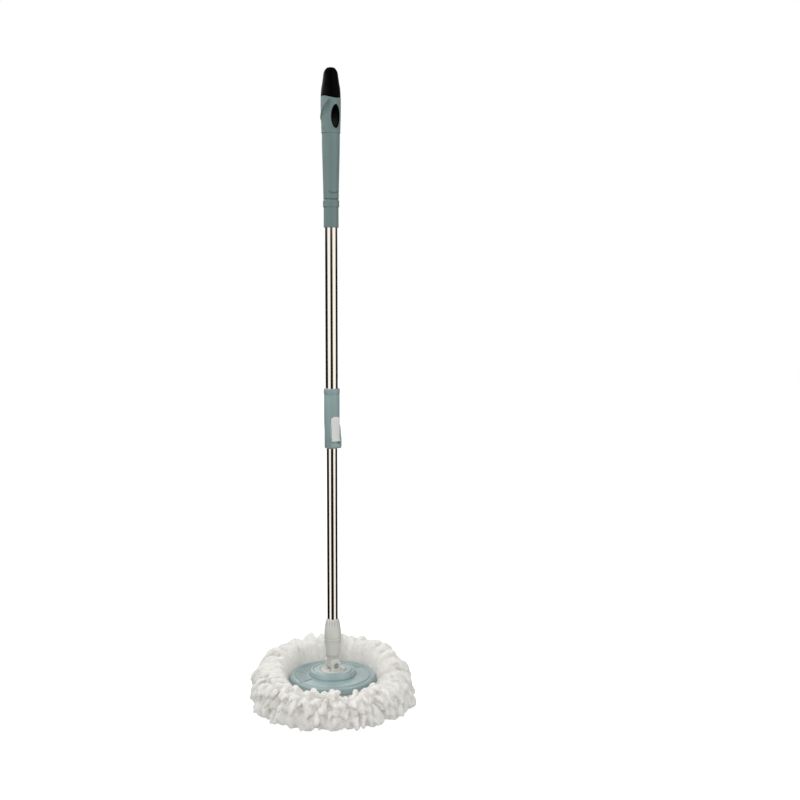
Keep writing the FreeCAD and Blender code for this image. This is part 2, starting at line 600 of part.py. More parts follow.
def knuckle():
    """Lower half of the connector, with the tongue that hangs on the tilt pin."""
    foot_z = PIN_Z + KNUCKLE_RISE
    joint_z = BARREL_Z - 0.2
    outline = [(2.1, foot_z), (2.85, foot_z + 0.8), (4.15, foot_z + 14.4), (4.9, joint_z - 3.2),
               (4.9, joint_z - 2.2), (4.4, joint_z - 1.7), (5.4, joint_z - 1.2), (5.4, joint_z)]
    side = [(LOWER_R + outward, height) for outward, height in outline]
    body = turned([(0, foot_z)] + side + [(0, joint_z)])
    half = KNUCKLE_WIDTH / 2
    tongue = rod(Vector(0, -half, PIN_Z), Vector(0, half, PIN_Z), TONGUE_R)
    web = box(-TONGUE_R, TONGUE_R, -half, half, PIN_Z, foot_z + 1)
    body = body.fuse([cylinder(SPIGOT_R, joint_z, SPIGOT_TOP), tongue, web])
    body = body.cut(cylinder(LOWER_R, TUBE_SEAT_Z, SPIGOT_TOP))
    bore = rod(Vector(0, -half, PIN_Z), Vector(0, half, PIN_Z), PIN_D / 2 + PIN_GAP)
    return body.cut(bore).removeSplitter()


# ---- fork ----
def cheek(side):
    low = min(side * CHEEK_INNER, side * CHEEK_OUTER)
    boss = rod(Vector(0, low, PIN_Z), Vector(0, low + CHEEK_THICKNESS, PIN_Z), CHEEK_R)
    leg = box(-CHEEK_HALF, CHEEK_HALF, low, low + CHEEK_THICKNESS, DISH_TOP - 1, PIN_Z)
    return boss.fuse(leg)


def base_screw_holes():
    shank = rod(Vector(BASE_SCREW_RING, 0, 0), Vector(BASE_SCREW_RING, 0, DISH_TOP), BASE_SCREW_D / 2)
    return [turn(shank, angle) for angle in BASE_SCREW_ANGLES]


def fork_base():
    """Round dish with two cheeks, which turns on the plate."""
    lower = DISH_TOP - DISH_THICKNESS
    dish = turned([(0, lower), (DISH_R, lower), (DISH_R, DISH_TOP + 0.2), (DISH_R - 0.5, DISH_TOP + 0.8),
                   (DISH_R - 1.4, DISH_TOP + 0.8), (DISH_R - 2.2, DISH_TOP), (0, DISH_TOP)])
    hub = cylinder(HUB_R, SWIVEL_TOP - TURN_GAP - WASHER_HEIGHT, lower)
    body = dish.fuse([hub, cheek(-1), cheek(1)]).removeSplitter()
    body = body.cut(hinge_pin_shank())
    body = body.cut(pin_head_pockets())
    return body.cut(base_screw_holes())


def hinge_pin_shank():
    return rod(Vector(0, -CHEEK_OUTER, PIN_Z), Vector(0, CHEEK_OUTER, PIN_Z), PIN_D / 2)


def pin_head_pockets():
    floor = CHEEK_OUTER - PIN_HEAD_HEIGHT
    radius = PIN_HEAD_D / 2 + PIN_HEAD_GAP
    front = rod(Vector(0, -floor, PIN_Z), Vector(0, -CHEEK_OUTER - 1, PIN_Z), radius)
    rear = rod(Vector(0, floor, PIN_Z), Vector(0, CHEEK_OUTER + 1, PIN_Z), radius)
    return [front, rear]


def hinge_pin():
    """Steel pin with a flat head, held by the pin nut."""
    head_back = PIN_HEAD_HEIGHT - CHEEK_OUTER
    shank = rod(Vector(0, head_back, PIN_Z), Vector(0, CHEEK_OUTER - 0.4, PIN_Z), PIN_D / 2)
    head = rod(Vector(0, -CHEEK_OUTER, PIN_Z), Vector(0, head_back, PIN_Z), PIN_HEAD_D / 2)
    slot = box(-3.6, 3.6, -CHEEK_OUTER, -CHEEK_OUTER + 0.8, PIN_Z - 0.6, PIN_Z + 0.6)
    return shank.fuse(head).cut(slot)


def pin_nut():
    radius = PIN_HEAD_D / 2
    angles = [math.radians(60 * index) for index in range(6)]
    corners = [Vector(radius * math.cos(angle), 0, radius * math.sin(angle)) for angle in angles]
    face = Part.Face(Part.makePolygon(corners + corners[:1]))
    face.translate(Vector(0, CHEEK_OUTER - PIN_HEAD_HEIGHT, PIN_Z))
    return face.extrude(Vector(0, PIN_HEAD_HEIGHT, 0)).cut(hinge_pin())


def base_screws():
    seat = Vector(BASE_SCREW_RING, 0, DISH_TOP)
    shank = rod(Vector(BASE_SCREW_RING, 0, RETAINER_Z + 0.6), seat, BASE_SCREW_D / 2)
    head = rod(seat, seat.add(Vector(0, 0, 1.3)), BASE_SCREW_HEAD_D / 2)
    middle = seat.add(Vector(0, 0, 0.7))
    cross = [box(middle.x - 1.7, middle.x + 1.7, -0.35, 0.35, middle.z, middle.z + 2),
             box(middle.x - 0.35, middle.x + 0.35, -1.7, 1.7, middle.z, middle.z + 2)]
    screw = head.fuse(shank).cut(cross)
    return Part.makeCompound([turn(screw, angle) for angle in BASE_SCREW_ANGLES])


def swivel_retainer():
    """Plate under the mop plate's flange, screwed to the fork."""
    disc = cylinder(HUB_R + 4.5, RETAINER_Z, RETAINER_Z + RETAINER_HEIGHT)
    return disc.cut(base_screw_holes())


def swivel_washer():
    top = SWIVEL_TOP - TURN_GAP
    return ring(HUB_R + 4.0, HUB_R, top - WASHER_HEIGHT, top)


# ---- plate and refill ----
def mop_plate():
    """Round plate with a raised middle and a slanted skirt, its seat open for the fork's hub."""
    rim_r = SKIRT_R - SKIRT_SLANT
    plateau_r = PLATEAU_D / 2
    under = PLATE_Z - PLATE_WALL
    seat_r = DISH_R + 0.4
    flange_r = seat_r + PLATE_WALL
    hub_bore = HUB_R + SLIDE_GAP
    plateau_under = PLATEAU_Z - PLATE_WALL
    hub_bore = HUB_R + SLIDE_GAP
    top = [(hub_bore, SWIVEL_TOP), (hub_bore, SEAT_Z), (seat_r, SEAT_Z), (seat_r, PLATEAU_Z),
           (plateau_r - 0.8, PLATEAU_Z), (plateau_r, PLATEAU_Z - 0.5), (plateau_r + 3.0, PLATE_Z + 0.6),
           (plateau_r + 4.0, PLATE_Z), (rim_r - 2.0, PLATE_Z), (rim_r - 0.4, PLATE_Z - 0.6),
           (rim_r + 0.3, PLATE_Z - 1.8), (SKIRT_R, SKIRT_Z)]
    bottom = [(SKIRT_R - PLATE_WALL, SKIRT_Z), (rim_r - PLATE_WALL, under), (plateau_r + 1.0, under),
              (plateau_r - 2.0, plateau_under), (flange_r, plateau_under), (flange_r, SWIVEL_TOP)]
    clip_low = BAND_Z + BAND_THICKNESS + REFILL_THICKNESS + 1
    clip_wall = ring(CLIP_WALL_R, CLIP_WALL_R - 2, clip_low, under + 0.5)
    ribs = around(box(plateau_r, CLIP_WALL_R - 1, -1, 1, under - 5, under + 0.5), 6)
    return turned(top + bottom).fuse([clip_wall] + ribs.Solids).removeSplitter()


def rivet_holes():
    hole = rod(Vector(RIVET_RING, 0, 0), Vector(RIVET_RING, 0, PLATE_Z - PLATE_WALL - 1), RIVET_D / 2)
    return [turn(hole, 360 * index / RIVET_COUNT) for index in range(RIVET_COUNT)]


def refill_ring_upper():
    low = BAND_Z + BAND_THICKNESS
    flat = ring(REFILL_R - 1.5, CLIP_WALL_R, low, low + REFILL_THICKNESS)
    collar = ring(CLIP_WALL_R + 2.4, CLIP_WALL_R, low, low + 9)
    return flat.fuse(collar).removeSplitter().cut(rivet_holes())


def refill_ring_lower():
    flat = ring(REFILL_R, CLIP_WALL_R - 2, BAND_Z - REFILL_THICKNESS, BAND_Z)
    return flat.cut(rivet_holes())


def refill_rivets():
    low = BAND_Z - REFILL_THICKNESS
    high = BAND_Z + BAND_THICKNESS + REFILL_THICKNESS
    shank = rod(Vector(RIVET_RING, 0, low), Vector(RIVET_RING, 0, high), RIVET_D / 2)
    head = rod(Vector(RIVET_RING, 0, low - 1), Vector(RIVET_RING, 0, low), RIVET_D / 2 + 1.2)
    return around(shank.fuse(head), RIVET_COUNT)


def strands():
    """The microfibre loops as one soft ring, clamped between the refill's rings."""
    outer = FRINGE_R
    inner = SKIRT_R + 1.2
    curve = [(inner, SKIRT_Z + 2), (inner + 6, SKIRT_Z + 20), (inner + 20, FRINGE_HEIGHT),
             (outer - 22, FRINGE_HEIGHT - 10), (outer - 4, FRINGE_HEIGHT / 2 + 8), (outer, FRINGE_HEIGHT / 3),
             (outer - 4, 8), (outer - 14, 0)]
    spline = Part.BSplineCurve()
    spline.interpolate([Vector(radius, 0, height) for radius, height in curve])
    back = [(outer - 14, 0), (outer - 34, 0), (inner + 22, 26), (inner, BAND_Z), (CLIP_WALL_R - 1, BAND_Z),
            (CLIP_WALL_R - 1, BAND_Z + BAND_THICKNESS), (inner, BAND_Z + BAND_THICKNESS),
            (inner, SKIRT_Z + 2)]
    corners = [Vector(radius, 0, height) for radius, height in back]
    sides = [Part.makeLine(a, b) for a, b in zip(corners, corners[1:])]
    profile = Part.Face(Part.Wire([spline.toShape()] + sides))
    return profile.revolve(Vector(), Vector(0, 0, 1), 360).cut(rivet_holes())


PIECES = {
    "end_cap": end_cap,
    "grip": grip,
    "hang_eyelet": hang_eyelet,
    "upper_tube": upper_tube,
    "bar_anchor": bar_anchor,
    "anchor_rivet": anchor_rivet,
    "twist_bar": twist_bar,
    "stop_washer": stop_washer,
    "stop_pin": stop_pin,
    "lock_sleeve": lock_sleeve,
    "sleeve_screw": sleeve_screw,
    "lever_pin": lever_pin,
    "brake_shoe": brake_shoe,
    "lock_lever": lock_lever,
    "guide_bush": guide_bush,
    "nut_housing": nut_housing,
    "drive_nut": drive_nut,
    "nut_cap": nut_cap,
    "housing_pins": housing_pin_pair,
    "lower_tube": lower_tube,
    "connector_barrel": connector_barrel,
    "connector_screw": connector_screw,
    "knuckle": knuckle,
    "fork_base": fork_base,
    "hinge_pin": hinge_pin,
    "pin_nut": pin_nut,
    "base_screws": base_screws,
    "swivel_retainer": swivel_retainer,
    "swivel_washer": swivel_washer,
    "mop_plate": mop_plate,
    "refill_ring_upper": refill_ring_upper,
    "refill_ring_lower": refill_ring_lower,
    "refill_rivets": refill_rivets,
    "strands": strands,
}


def main():
    os.makedirs("parts", exist_ok=True)
    for name, make in PIECES.items():
        shape = make()
        shape.exportStep(os.path.join("parts", name + ".step"))
        print(f"{name}: {len(shape.Solids)} solid(s), {shape.Volume / 1000:.2f} cm3, valid {shape.isValid()}")


main()
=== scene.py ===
"""Looks of a hand-press spin mop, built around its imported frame. All lengths are metres."""

import json
import math

import bmesh
import bpy
import numpy as np
from bpy.props import FloatProperty, FloatVectorProperty, IntProperty, PointerProperty
from mathutils import Matrix, Vector


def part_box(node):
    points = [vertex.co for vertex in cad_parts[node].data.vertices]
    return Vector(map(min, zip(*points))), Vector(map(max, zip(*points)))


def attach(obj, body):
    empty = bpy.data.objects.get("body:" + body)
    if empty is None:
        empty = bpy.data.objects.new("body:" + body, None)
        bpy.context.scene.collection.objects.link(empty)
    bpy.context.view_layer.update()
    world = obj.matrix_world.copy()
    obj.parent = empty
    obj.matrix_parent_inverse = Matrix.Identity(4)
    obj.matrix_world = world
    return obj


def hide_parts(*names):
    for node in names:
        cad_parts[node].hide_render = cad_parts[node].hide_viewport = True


bl_info = {
    "name": "Spin mop looks",
    "version": (1, 0, 0),
    "blender": (4, 5, 0),
    "location": "3D View > Sidebar > Spin mop",
    "description": "Builds the visible pieces of a spin mop around its fixed frame",
    "category": "Object",
}

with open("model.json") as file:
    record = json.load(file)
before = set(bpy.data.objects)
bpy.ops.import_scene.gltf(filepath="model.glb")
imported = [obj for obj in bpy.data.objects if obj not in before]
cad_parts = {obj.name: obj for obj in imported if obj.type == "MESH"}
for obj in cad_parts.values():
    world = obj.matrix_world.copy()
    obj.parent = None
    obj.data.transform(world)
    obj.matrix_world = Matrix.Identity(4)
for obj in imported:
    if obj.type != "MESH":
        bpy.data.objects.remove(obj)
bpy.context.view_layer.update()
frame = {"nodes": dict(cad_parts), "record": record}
MM = 0.001


# ---------------------------------------------------------------- places read from the frame
def low(node):
    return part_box(node)[0]


def high(node):
    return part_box(node)[1]


GRIP_BOTTOM = low("grip").z
GRIP_TOP = high("end_cap").z
CAP_EDGE = GRIP_TOP - 52.0 * MM
TUBE_TOP = high("upper_tube").z
HOLE_Z = (low("hang_eyelet").z + high("hang_eyelet").z) / 2
HOLE_HALF = (high("hang_eyelet").z - low("hang_eyelet").z) / 2
LOWER_R = high("lower_tube").x
PLATEAU_Z = high("mop_plate").z
SKIRT_Z = low("mop_plate").z
SKIRT_R = high("mop_plate").x
PLATE_Z = PLATEAU_Z - 8.9 * MM
DISH_R = high("fork_base").x
HUB_R = DISH_R - 4.0 * MM
DISH_TOP = PLATEAU_Z - 0.3 * MM
PIN_Z = (low("hinge_pin").z + high("hinge_pin").z) / 2
JOINT_Z = low("connector_barrel").z
SOCKET_TOP = high("connector_barrel").z


# ---------------------------------------------------------------- settings
def length(name, description, default):
    return FloatProperty(name=name, description=description, default=default, unit="LENGTH", precision=4)


def colour(name, description, default):
    return FloatVectorProperty(name=name, description=description, default=default, subtype="COLOR",
                               size=3, min=0.0, max=1.0)


class FringeSettings(bpy.types.PropertyGroup):
    strands: IntProperty(name="Strands per layer", description="Loops in each layer", default=112, min=8)
    thickness: length("Strand radius", "Half the width of a loop", 0.0047)
    back_lift: length("Back lift", "How much higher the loops stand at the back", 0.032)
    fluff: length("Fluff", "Height of the soft lumps on each loop", 0.0008)
    seed: IntProperty(name="Seed", description="Seed of the random lay", default=7)


class FinishSettings(bpy.types.PropertyGroup):
    grip: colour("Grip", "Grey-green plastic of the grip", (0.150, 0.218, 0.212))
    sleeve: colour("Sleeve", "Grey-green plastic of the lock sleeve", (0.268, 0.366, 0.366))
    plate: colour("Plate", "Grey-green plastic of the plate", (0.300, 0.408, 0.412))
    white: colour("White plastic", "Connector and fork", (0.640, 0.635, 0.600))
    lever: colour("Lever", "Pale plastic of the lock lever", (0.700, 0.710, 0.690))
    black: colour("Black", "Cap and eyelet", (0.0012, 0.0012, 0.0012))
    steel: colour("Steel", "Polished tubes", (0.780, 0.750, 0.700))
    fibre: colour("Microfibre", "Loops of the refill", (0.680, 0.668, 0.636))


class StageSettings(bpy.types.PropertyGroup):
    azimuth: FloatProperty(name="Azimuth", description="Camera's place round the mop",
                           default=math.radians(-30), subtype="ANGLE")
    pitch: FloatProperty(name="Pitch", description="How far the camera looks down", default=math.radians(6),
                         subtype="ANGLE")
    yaw: FloatProperty(name="Yaw", description="How far the camera looks to the mop's right",
                       default=math.radians(2.0), subtype="ANGLE")
    shift: FloatProperty(name="Shift", description="Sideways shift of the lens", default=0.0349)
    distance: length("Distance", "Camera to the pole, along the floor", 2.0785)
    height: length("Height", "Camera above the floor", 0.7856)
    focal: FloatProperty(name="Focal length", description="Lens, in millimetres", default=52.2)


# ---------------------------------------------------------------- node tools
def add(tree, kind, inputs=None, **settings):
    """Adds a node, gives it its settings, and sets or links its inputs by name or number."""
    node = tree.nodes.new(kind)
    for key, value in settings.items():
        setattr(node, key, value)
    for key, value in (inputs or {}).items():
        socket = node.inputs[key]
        if isinstance(value, bpy.types.NodeSocket):
            tree.links.new(value, socket)
        else:
            socket.default_value = value
    return node


def maths(tree, operation, a, b=0.0, c=0.0):
    return add(tree, "ShaderNodeMath", {0: a, 1: b, 2: c}, operation=operation).outputs[0]


def split_up(tree, vector):
    return add(tree, "ShaderNodeSeparateXYZ", {0: vector}).outputs


def polar(tree, angle, radius, height):
    """A place given by its angle about the pole, its distance from the pole and its height."""
    across = maths(tree, "MULTIPLY", maths(tree, "COSINE", angle), radius)
    along = maths(tree, "MULTIPLY", maths(tree, "SINE", angle), radius)
    return add(tree, "ShaderNodeCombineXYZ", {0: across, 1: along, 2: height}).outputs[0]


def ramp(tree, value, start, end, first, last, kind="SMOOTHSTEP"):
    """Runs from the first result to the last while the value goes from start to end."""
    inputs = {"Value": value, "From Min": start, "From Max": end, "To Min": first, "To Max": last}
    return add(tree, "ShaderNodeMapRange", inputs, interpolation_type=kind).outputs[0]


def vectors(tree, operation, a, b=(0, 0, 0), out=0):
    return add(tree, "ShaderNodeVectorMath", {0: a, 1: b}, operation=operation).outputs[out]


def scaled(tree, a, factor):
    return add(tree, "ShaderNodeVectorMath", {0: a, "Scale": factor}, operation="SCALE").outputs[0]


# ---------------------------------------------------------------- materials
def material(name):
    made = bpy.data.materials.new(name)
    made.use_nodes = True
    tree = made.node_tree
    return made, tree, tree.nodes["Principled BSDF"]


def object_noise(tree, scale, detail=4.0, stretch=(1, 1, 1), rough=0.5):
    place = add(tree, "ShaderNodeTexCoord").outputs["Object"]
    mapped = add(tree, "ShaderNodeMapping", {"Vector": place, "Scale": stretch}).outputs[0]
    return add(tree, "ShaderNodeTexNoise", {"Vector": mapped, "Scale": scale, "Detail": detail,
                                            "Roughness": rough}).outputs["Fac"]


def between(tree, factor, low_value, high_value):
    return ramp(tree, factor, 0.3, 0.7, low_value, high_value, "LINEAR")


def tinted(tree, factor, base, dark=0.9, light=1.08):
    """The base colour, a little darker and lighter in patches, and darkened by painted shade where the
    painted_shade attribute marks grooves and recesses.
    """
    mix = add(tree, "ShaderNodeMix", {"Factor": factor}, data_type="RGBA")
    mix.inputs["A"].default_value = (*[min(1, c * dark) for c in base], 1)
    mix.inputs["B"].default_value = (*[min(1, c * light) for c in base], 1)
    # painted shade: the mesh's painted_shade attribute darkens the colour in grooves and recesses, where shade
    # falls
    depth = add(tree, "ShaderNodeAttribute", attribute_name="painted_shade").outputs["Fac"]
    shade = maths(tree, "SUBTRACT", 1.0, maths(tree, "MULTIPLY", depth, 0.72))
    return scaled(tree, mix.outputs["Result"], shade)


def bumped(tree, shader, height, distance, strength):
    bump = add(tree, "ShaderNodeBump", {"Height": height, "Distance": distance, "Strength": strength})
    tree.links.new(bump.outputs[0], shader.inputs["Normal"])


def plastic(name, base, gloss_low=0.34, gloss_high=0.46, grain=2600.0, depth=0.00004):
    """Moulded plastic: faint cloudiness, uneven gloss, a fine grain and painted shade in grooves and recesses.
    """
    made, tree, shader = material(name)
    cloud = object_noise(tree, 38.0)
    tree.links.new(tinted(tree, cloud, base), shader.inputs["Base Color"])
    gloss = between(tree, object_noise(tree, 160.0, 6.0), gloss_low, gloss_high)
    tree.links.new(gloss, shader.inputs["Roughness"])
    bumped(tree, shader, object_noise(tree, grain, 2.0), depth, 0.6)
    shader.inputs["IOR"].default_value = 1.47
    return made


def steel(name, base, rough_low, rough_high, streaks=(900, 900, 12)):
    """Metal with fine lines drawn along the pole."""
    made, tree, shader = material(name)
    shader.inputs["Metallic"].default_value = 1.0
    lines = object_noise(tree, 1.0, 3.0, streaks)
    tree.links.new(tinted(tree, lines, base, 0.94, 1.03), shader.inputs["Base Color"])
    tree.links.new(between(tree, lines, rough_low, rough_high), shader.inputs["Roughness"])
    return made


def microfibre(name, base):
    """Soft white pile: crinkled fibres, dark in the folds, with a fuzzy sheen and a faint painted glow that
    lightens the folds' shade.
    """
    made, tree, shader = material(name)
    fibres = object_noise(tree, 900.0, 6.0, (1, 1, 1), 0.7)
    lumps = object_noise(tree, 180.0, 3.0)
    # locks of loops run outward from the pole
    place = add(tree, "ShaderNodeTexCoord").outputs["Object"]
    split = add(tree, "ShaderNodeSeparateXYZ", {0: place}).outputs
    turn = maths(tree, "MULTIPLY", maths(tree, "ARCTAN2", split[1], split[0]), 30.0)
    flat = add(tree, "ShaderNodeCombineXYZ", {0: split[0], 1: split[1]}).outputs[0]
    reach = vectors(tree, "LENGTH", flat, out=1)
    spot = add(tree, "ShaderNodeCombineXYZ", {0: turn, 1: maths(tree, "MULTIPLY", reach, 55.0),
                                              2: maths(tree, "MULTIPLY", split[2], 45.0)}).outputs[0]
    locks = add(tree, "ShaderNodeTexNoise", {"Vector": spot, "Scale": 1.0, "Detail": 3.0}).outputs["Fac"]
    both = maths(tree, "MULTIPLY_ADD", fibres, 0.35, maths(tree, "MULTIPLY_ADD", lumps, 0.25, maths(
        tree, "MULTIPLY", locks, 1.4)))
    tree.links.new(tinted(tree, locks, base, 0.84, 1.06), shader.inputs["Base Color"])
    # painted glow: a faint warm emission that lifts the shade between the loops
    shader.inputs["Emission Color"].default_value = (1.0, 0.97, 0.91, 1)
    shader.inputs["Emission Strength"].default_value = 0.12
    shader.inputs["Roughness"].default_value = 0.95
    shader.inputs["Specular IOR Level"].default_value = 0.15
    shader.inputs["Subsurface Weight"].default_value = 1.0
    shader.inputs["Subsurface Radius"].default_value = (0.035, 0.034, 0.032)
    shader.inputs["Subsurface Scale"].default_value = 1.0
    shader.inputs["Sheen Weight"].default_value = 0.25
    shader.inputs["Sheen Roughness"].default_value = 0.6
    bumped(tree, shader, both, 0.0015, 0.9)
    return made


# ---------------------------------------------------------------- mesh tools
def piece(name, mesh, finish, body, replaces=(), crease=40):
    """Names a finished mesh, gives it its material and hangs it on its body."""
    mesh.materials.clear()
    mesh.materials.append(finish)
    mesh.polygons.foreach_set("use_smooth", [True] * len(mesh.polygons))
    if crease:
        mesh.set_sharp_from_angle(angle=math.radians(crease))
    made = bpy.data.objects.new(name, mesh)
    bpy.context.scene.collection.objects.link(made)
    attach(made, body)
    if replaces:
        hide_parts(*replaces)
    return made


def smooth_step(value, low_edge, high_edge):
    part = np.clip((value - low_edge) / (high_edge - low_edge), 0, 1)
    return part * part * (3 - 2 * part)


def bell(value, width):
    """One at zero, falling smoothly to nothing at the width."""
    return np.clip(1 - (value / width) ** 2, 0, 1) ** 2


def resampled(points, step):
    """A polyline with no piece longer than the step."""
    out = [points[0]]
    for start, end in zip(points, points[1:]):
        pieces = max(1, math.ceil(math.dist(start, end) / step))
        out += [tuple(a + (b - a) * i / pieces for a, b in zip(start, end)) for i in range(1, pieces + 1)]
    return out


def curved(points, steps=8):
    """A smooth curve through points (Catmull-Rom)."""
    padded = [points[0]] + list(points) + [points[-1]]
    out = []
    for a, b, c, d in zip(padded, padded[1:], padded[2:], padded[3:]):
        for i in range(steps):
            t = i / steps
            out.append(tuple(0.5 * (2 * q + (r - p) * t + (2 * p - 5 * q + 4 * r - s) * t * t
                                    + (3 * q - p - 3 * r + s) * t ** 3) for p, q, r, s in zip(a, b, c, d)))
    return out + [points[-1]]


def rounded(points, radius, steps=4):
    """An open outline with its inner corners rounded off."""
    out = [points[0]]
    for before, corner, after in zip(points, points[1:], points[2:]):
        there, back = Vector(before) - Vector(corner), Vector(after) - Vector(corner)
        cut = min(radius, there.length * 0.45, back.length * 0.45)
        if there.angle(back, 0) > math.radians(172) or cut < 1e-7:
            out.append(corner)
            continue
        start, end = Vector(corner) + there.normalized() * cut, Vector(corner) + back.normalized() * cut
        for i in range(steps + 1):
            t = i / steps
            out.append(tuple(start * (1 - t) ** 2 + Vector(corner) * 2 * t * (1 - t) + end * t * t))
    return out + [points[-1]]


def lathe(name, outline, count=128, shape=None):
    """Turns a closed outline of (radius, height) about the pole. shape(angle, radius, height) may then move it,
    and gives each place its painted shade, which grows with how deep the place lies in a groove."""
    outline = np.array(outline)
    rows = len(outline)
    angles = np.linspace(0, 2 * math.pi, count, endpoint=False)
    angle, radius = np.meshgrid(angles, outline[:, 0], indexing="ij")
    height = np.broadcast_to(outline[:, 1], radius.shape).copy()
    painted_shade = np.zeros_like(height)
    if shape:
        radius, height, painted_shade = shape(angle, radius.copy(), height)
    places = np.stack([np.cos(angle) * radius, np.sin(angle) * radius, height], axis=2).reshape(-1, 3)
    faces = []
    for column in range(count):
        here, there = column * rows, (column + 1) % count * rows
        for row in range(rows):
            up = (row + 1) % rows
            faces.append((here + row, there + row, there + up, here + up))
    mesh = mesh_from(name, places.tolist(), faces)
    # store the painted shade, the darkening of the colour in grooves and recesses, on each point
    mesh.attributes.new("painted_shade", "FLOAT", "POINT").data.foreach_set("value", np.ravel(painted_shade).astype("f"))
    return cleaned(mesh)


def settled(work, mesh):
    """Writes the working mesh into a mesh and frees it."""
    work.to_mesh(mesh)
    work.free()
    return mesh


def cleaned(mesh, gap=2e-6):
    """Merges what meets and turns every face outward."""
    work = bmesh.new()
    work.from_mesh(mesh)
    bmesh.ops.remove_doubles(work, verts=work.verts, dist=gap)
    bmesh.ops.dissolve_degenerate(work, edges=work.edges, dist=gap / 2)
    bmesh.ops.recalc_face_normals(work, faces=work.faces)
    return settled(work, mesh)


def joined(name, *meshes):
    """One mesh from several."""
    work = bmesh.new()
    for mesh in meshes:
        work.from_mesh(mesh)
    return settled(work, bpy.data.meshes.new(name))


def block(size, place, turn=0.0, bevel=0.0, segments=2):
    """A box with rounded edges; turn is about the pole's direction."""
    work = bmesh.new()
    bmesh.ops.create_cube(work, size=1.0)
    bmesh.ops.scale(work, vec=size, verts=work.verts)
    if bevel:
        bmesh.ops.bevel(work, geom=work.edges, offset=bevel, segments=segments, affect="EDGES", profile=0.5)
    bmesh.ops.rotate(work, matrix=Matrix.Rotation(turn, 3, "Z"), verts=work.verts)
    bmesh.ops.translate(work, vec=place, verts=work.verts)
    return settled(work, bpy.data.meshes.new("block"))


def prism(outline, low_y, high_y, bevel=0.0, segments=3):
    """A plate flat across Y, from an outline of (x, z) points, its long edges rounded."""
    work = bmesh.new()
    face = work.faces.new([work.verts.new((x, low_y, z)) for x, z in outline])
    grown_part = bmesh.ops.extrude_face_region(work, geom=[face])["geom"]
    moved = [part for part in grown_part if isinstance(part, bmesh.types.BMVert)]
    bmesh.ops.translate(work, vec=(0, high_y - low_y, 0), verts=moved)
    bmesh.ops.recalc_face_normals(work, faces=work.faces)
    if bevel:
        rims = [edge for edge in work.edges if abs(edge.verts[0].co.y - edge.verts[1].co.y) < 1e-7]
        bmesh.ops.bevel(work, geom=rims, offset=bevel, segments=segments, affect="EDGES", profile=0.5)
    return settled(work, bpy.data.meshes.new("prism"))


def oval_outline(half_width, half_height, centre_z, count=72):
    turns = [2 * math.pi * i / count for i in range(count)]
    return [(half_width * math.cos(t), centre_z + half_height * math.sin(t)) for t in turns]


def boolean(mesh, tools):
    """The mesh with other solids cut away."""
    base = bpy.data.objects.new("boolean_base", mesh)
    bpy.context.scene.collection.objects.link(base)
    helpers = []
    for tool in tools:
        helper = bpy.data.objects.new("boolean_tool", tool)
        bpy.context.scene.collection.objects.link(helper)
        modifier = base.modifiers.new("cut", "BOOLEAN")
        modifier.operation = "DIFFERENCE"
        modifier.object = helper
        modifier.solver = "EXACT"
        helpers.append(helper)
    bpy.context.view_layer.update()
    out = bpy.data.meshes.new_from_object(base.evaluated_get(bpy.context.evaluated_depsgraph_get()))
    for made in [base, *helpers]:
        bpy.data.objects.remove(made)
    return out


def frame_copy(node, bevel, segments=2, angle=35):
    """A merged copy of one of the frame's own meshes, its edges rounded."""
    work = bmesh.new()
    work.from_mesh(frame["nodes"][node].data)
    bmesh.ops.transform(work, matrix=frame["nodes"][node].matrix_world, verts=work.verts)
    bmesh.ops.remove_doubles(work, verts=work.verts, dist=2e-6)
    bmesh.ops.dissolve_limit(work, angle_limit=math.radians(1.0), verts=work.verts, edges=work.edges)
    limit = math.radians(angle)
    sharp = [edge for edge in work.edges if edge.is_manifold and edge.calc_face_angle(0) > limit]
    if bevel and sharp:
        bmesh.ops.bevel(work, geom=sharp, offset=bevel, segments=segments, affect="EDGES", profile=0.5,
                        clamp_overlap=True)
    return settled(work, bpy.data.meshes.new(node))


def mesh_from(name, verts, faces):
    mesh = bpy.data.meshes.new(name)
    mesh.from_pydata([tuple(v) for v in verts], [], faces)
    mesh.validate()
    mesh.update()
    return mesh


# ---------------------------------------------------------------- grip and cap
def mm(points):
    return [(a * MM, b * MM) for a, b in points]


def cap_wave(angle, height, reach=25 * MM):
    """How far the wavy joint between grip and cap carries the surface near it."""
    near = smooth_step(reach - np.abs(height - CAP_EDGE), 0, reach)
    return 2.2 * MM * np.cos(2 * angle) * near


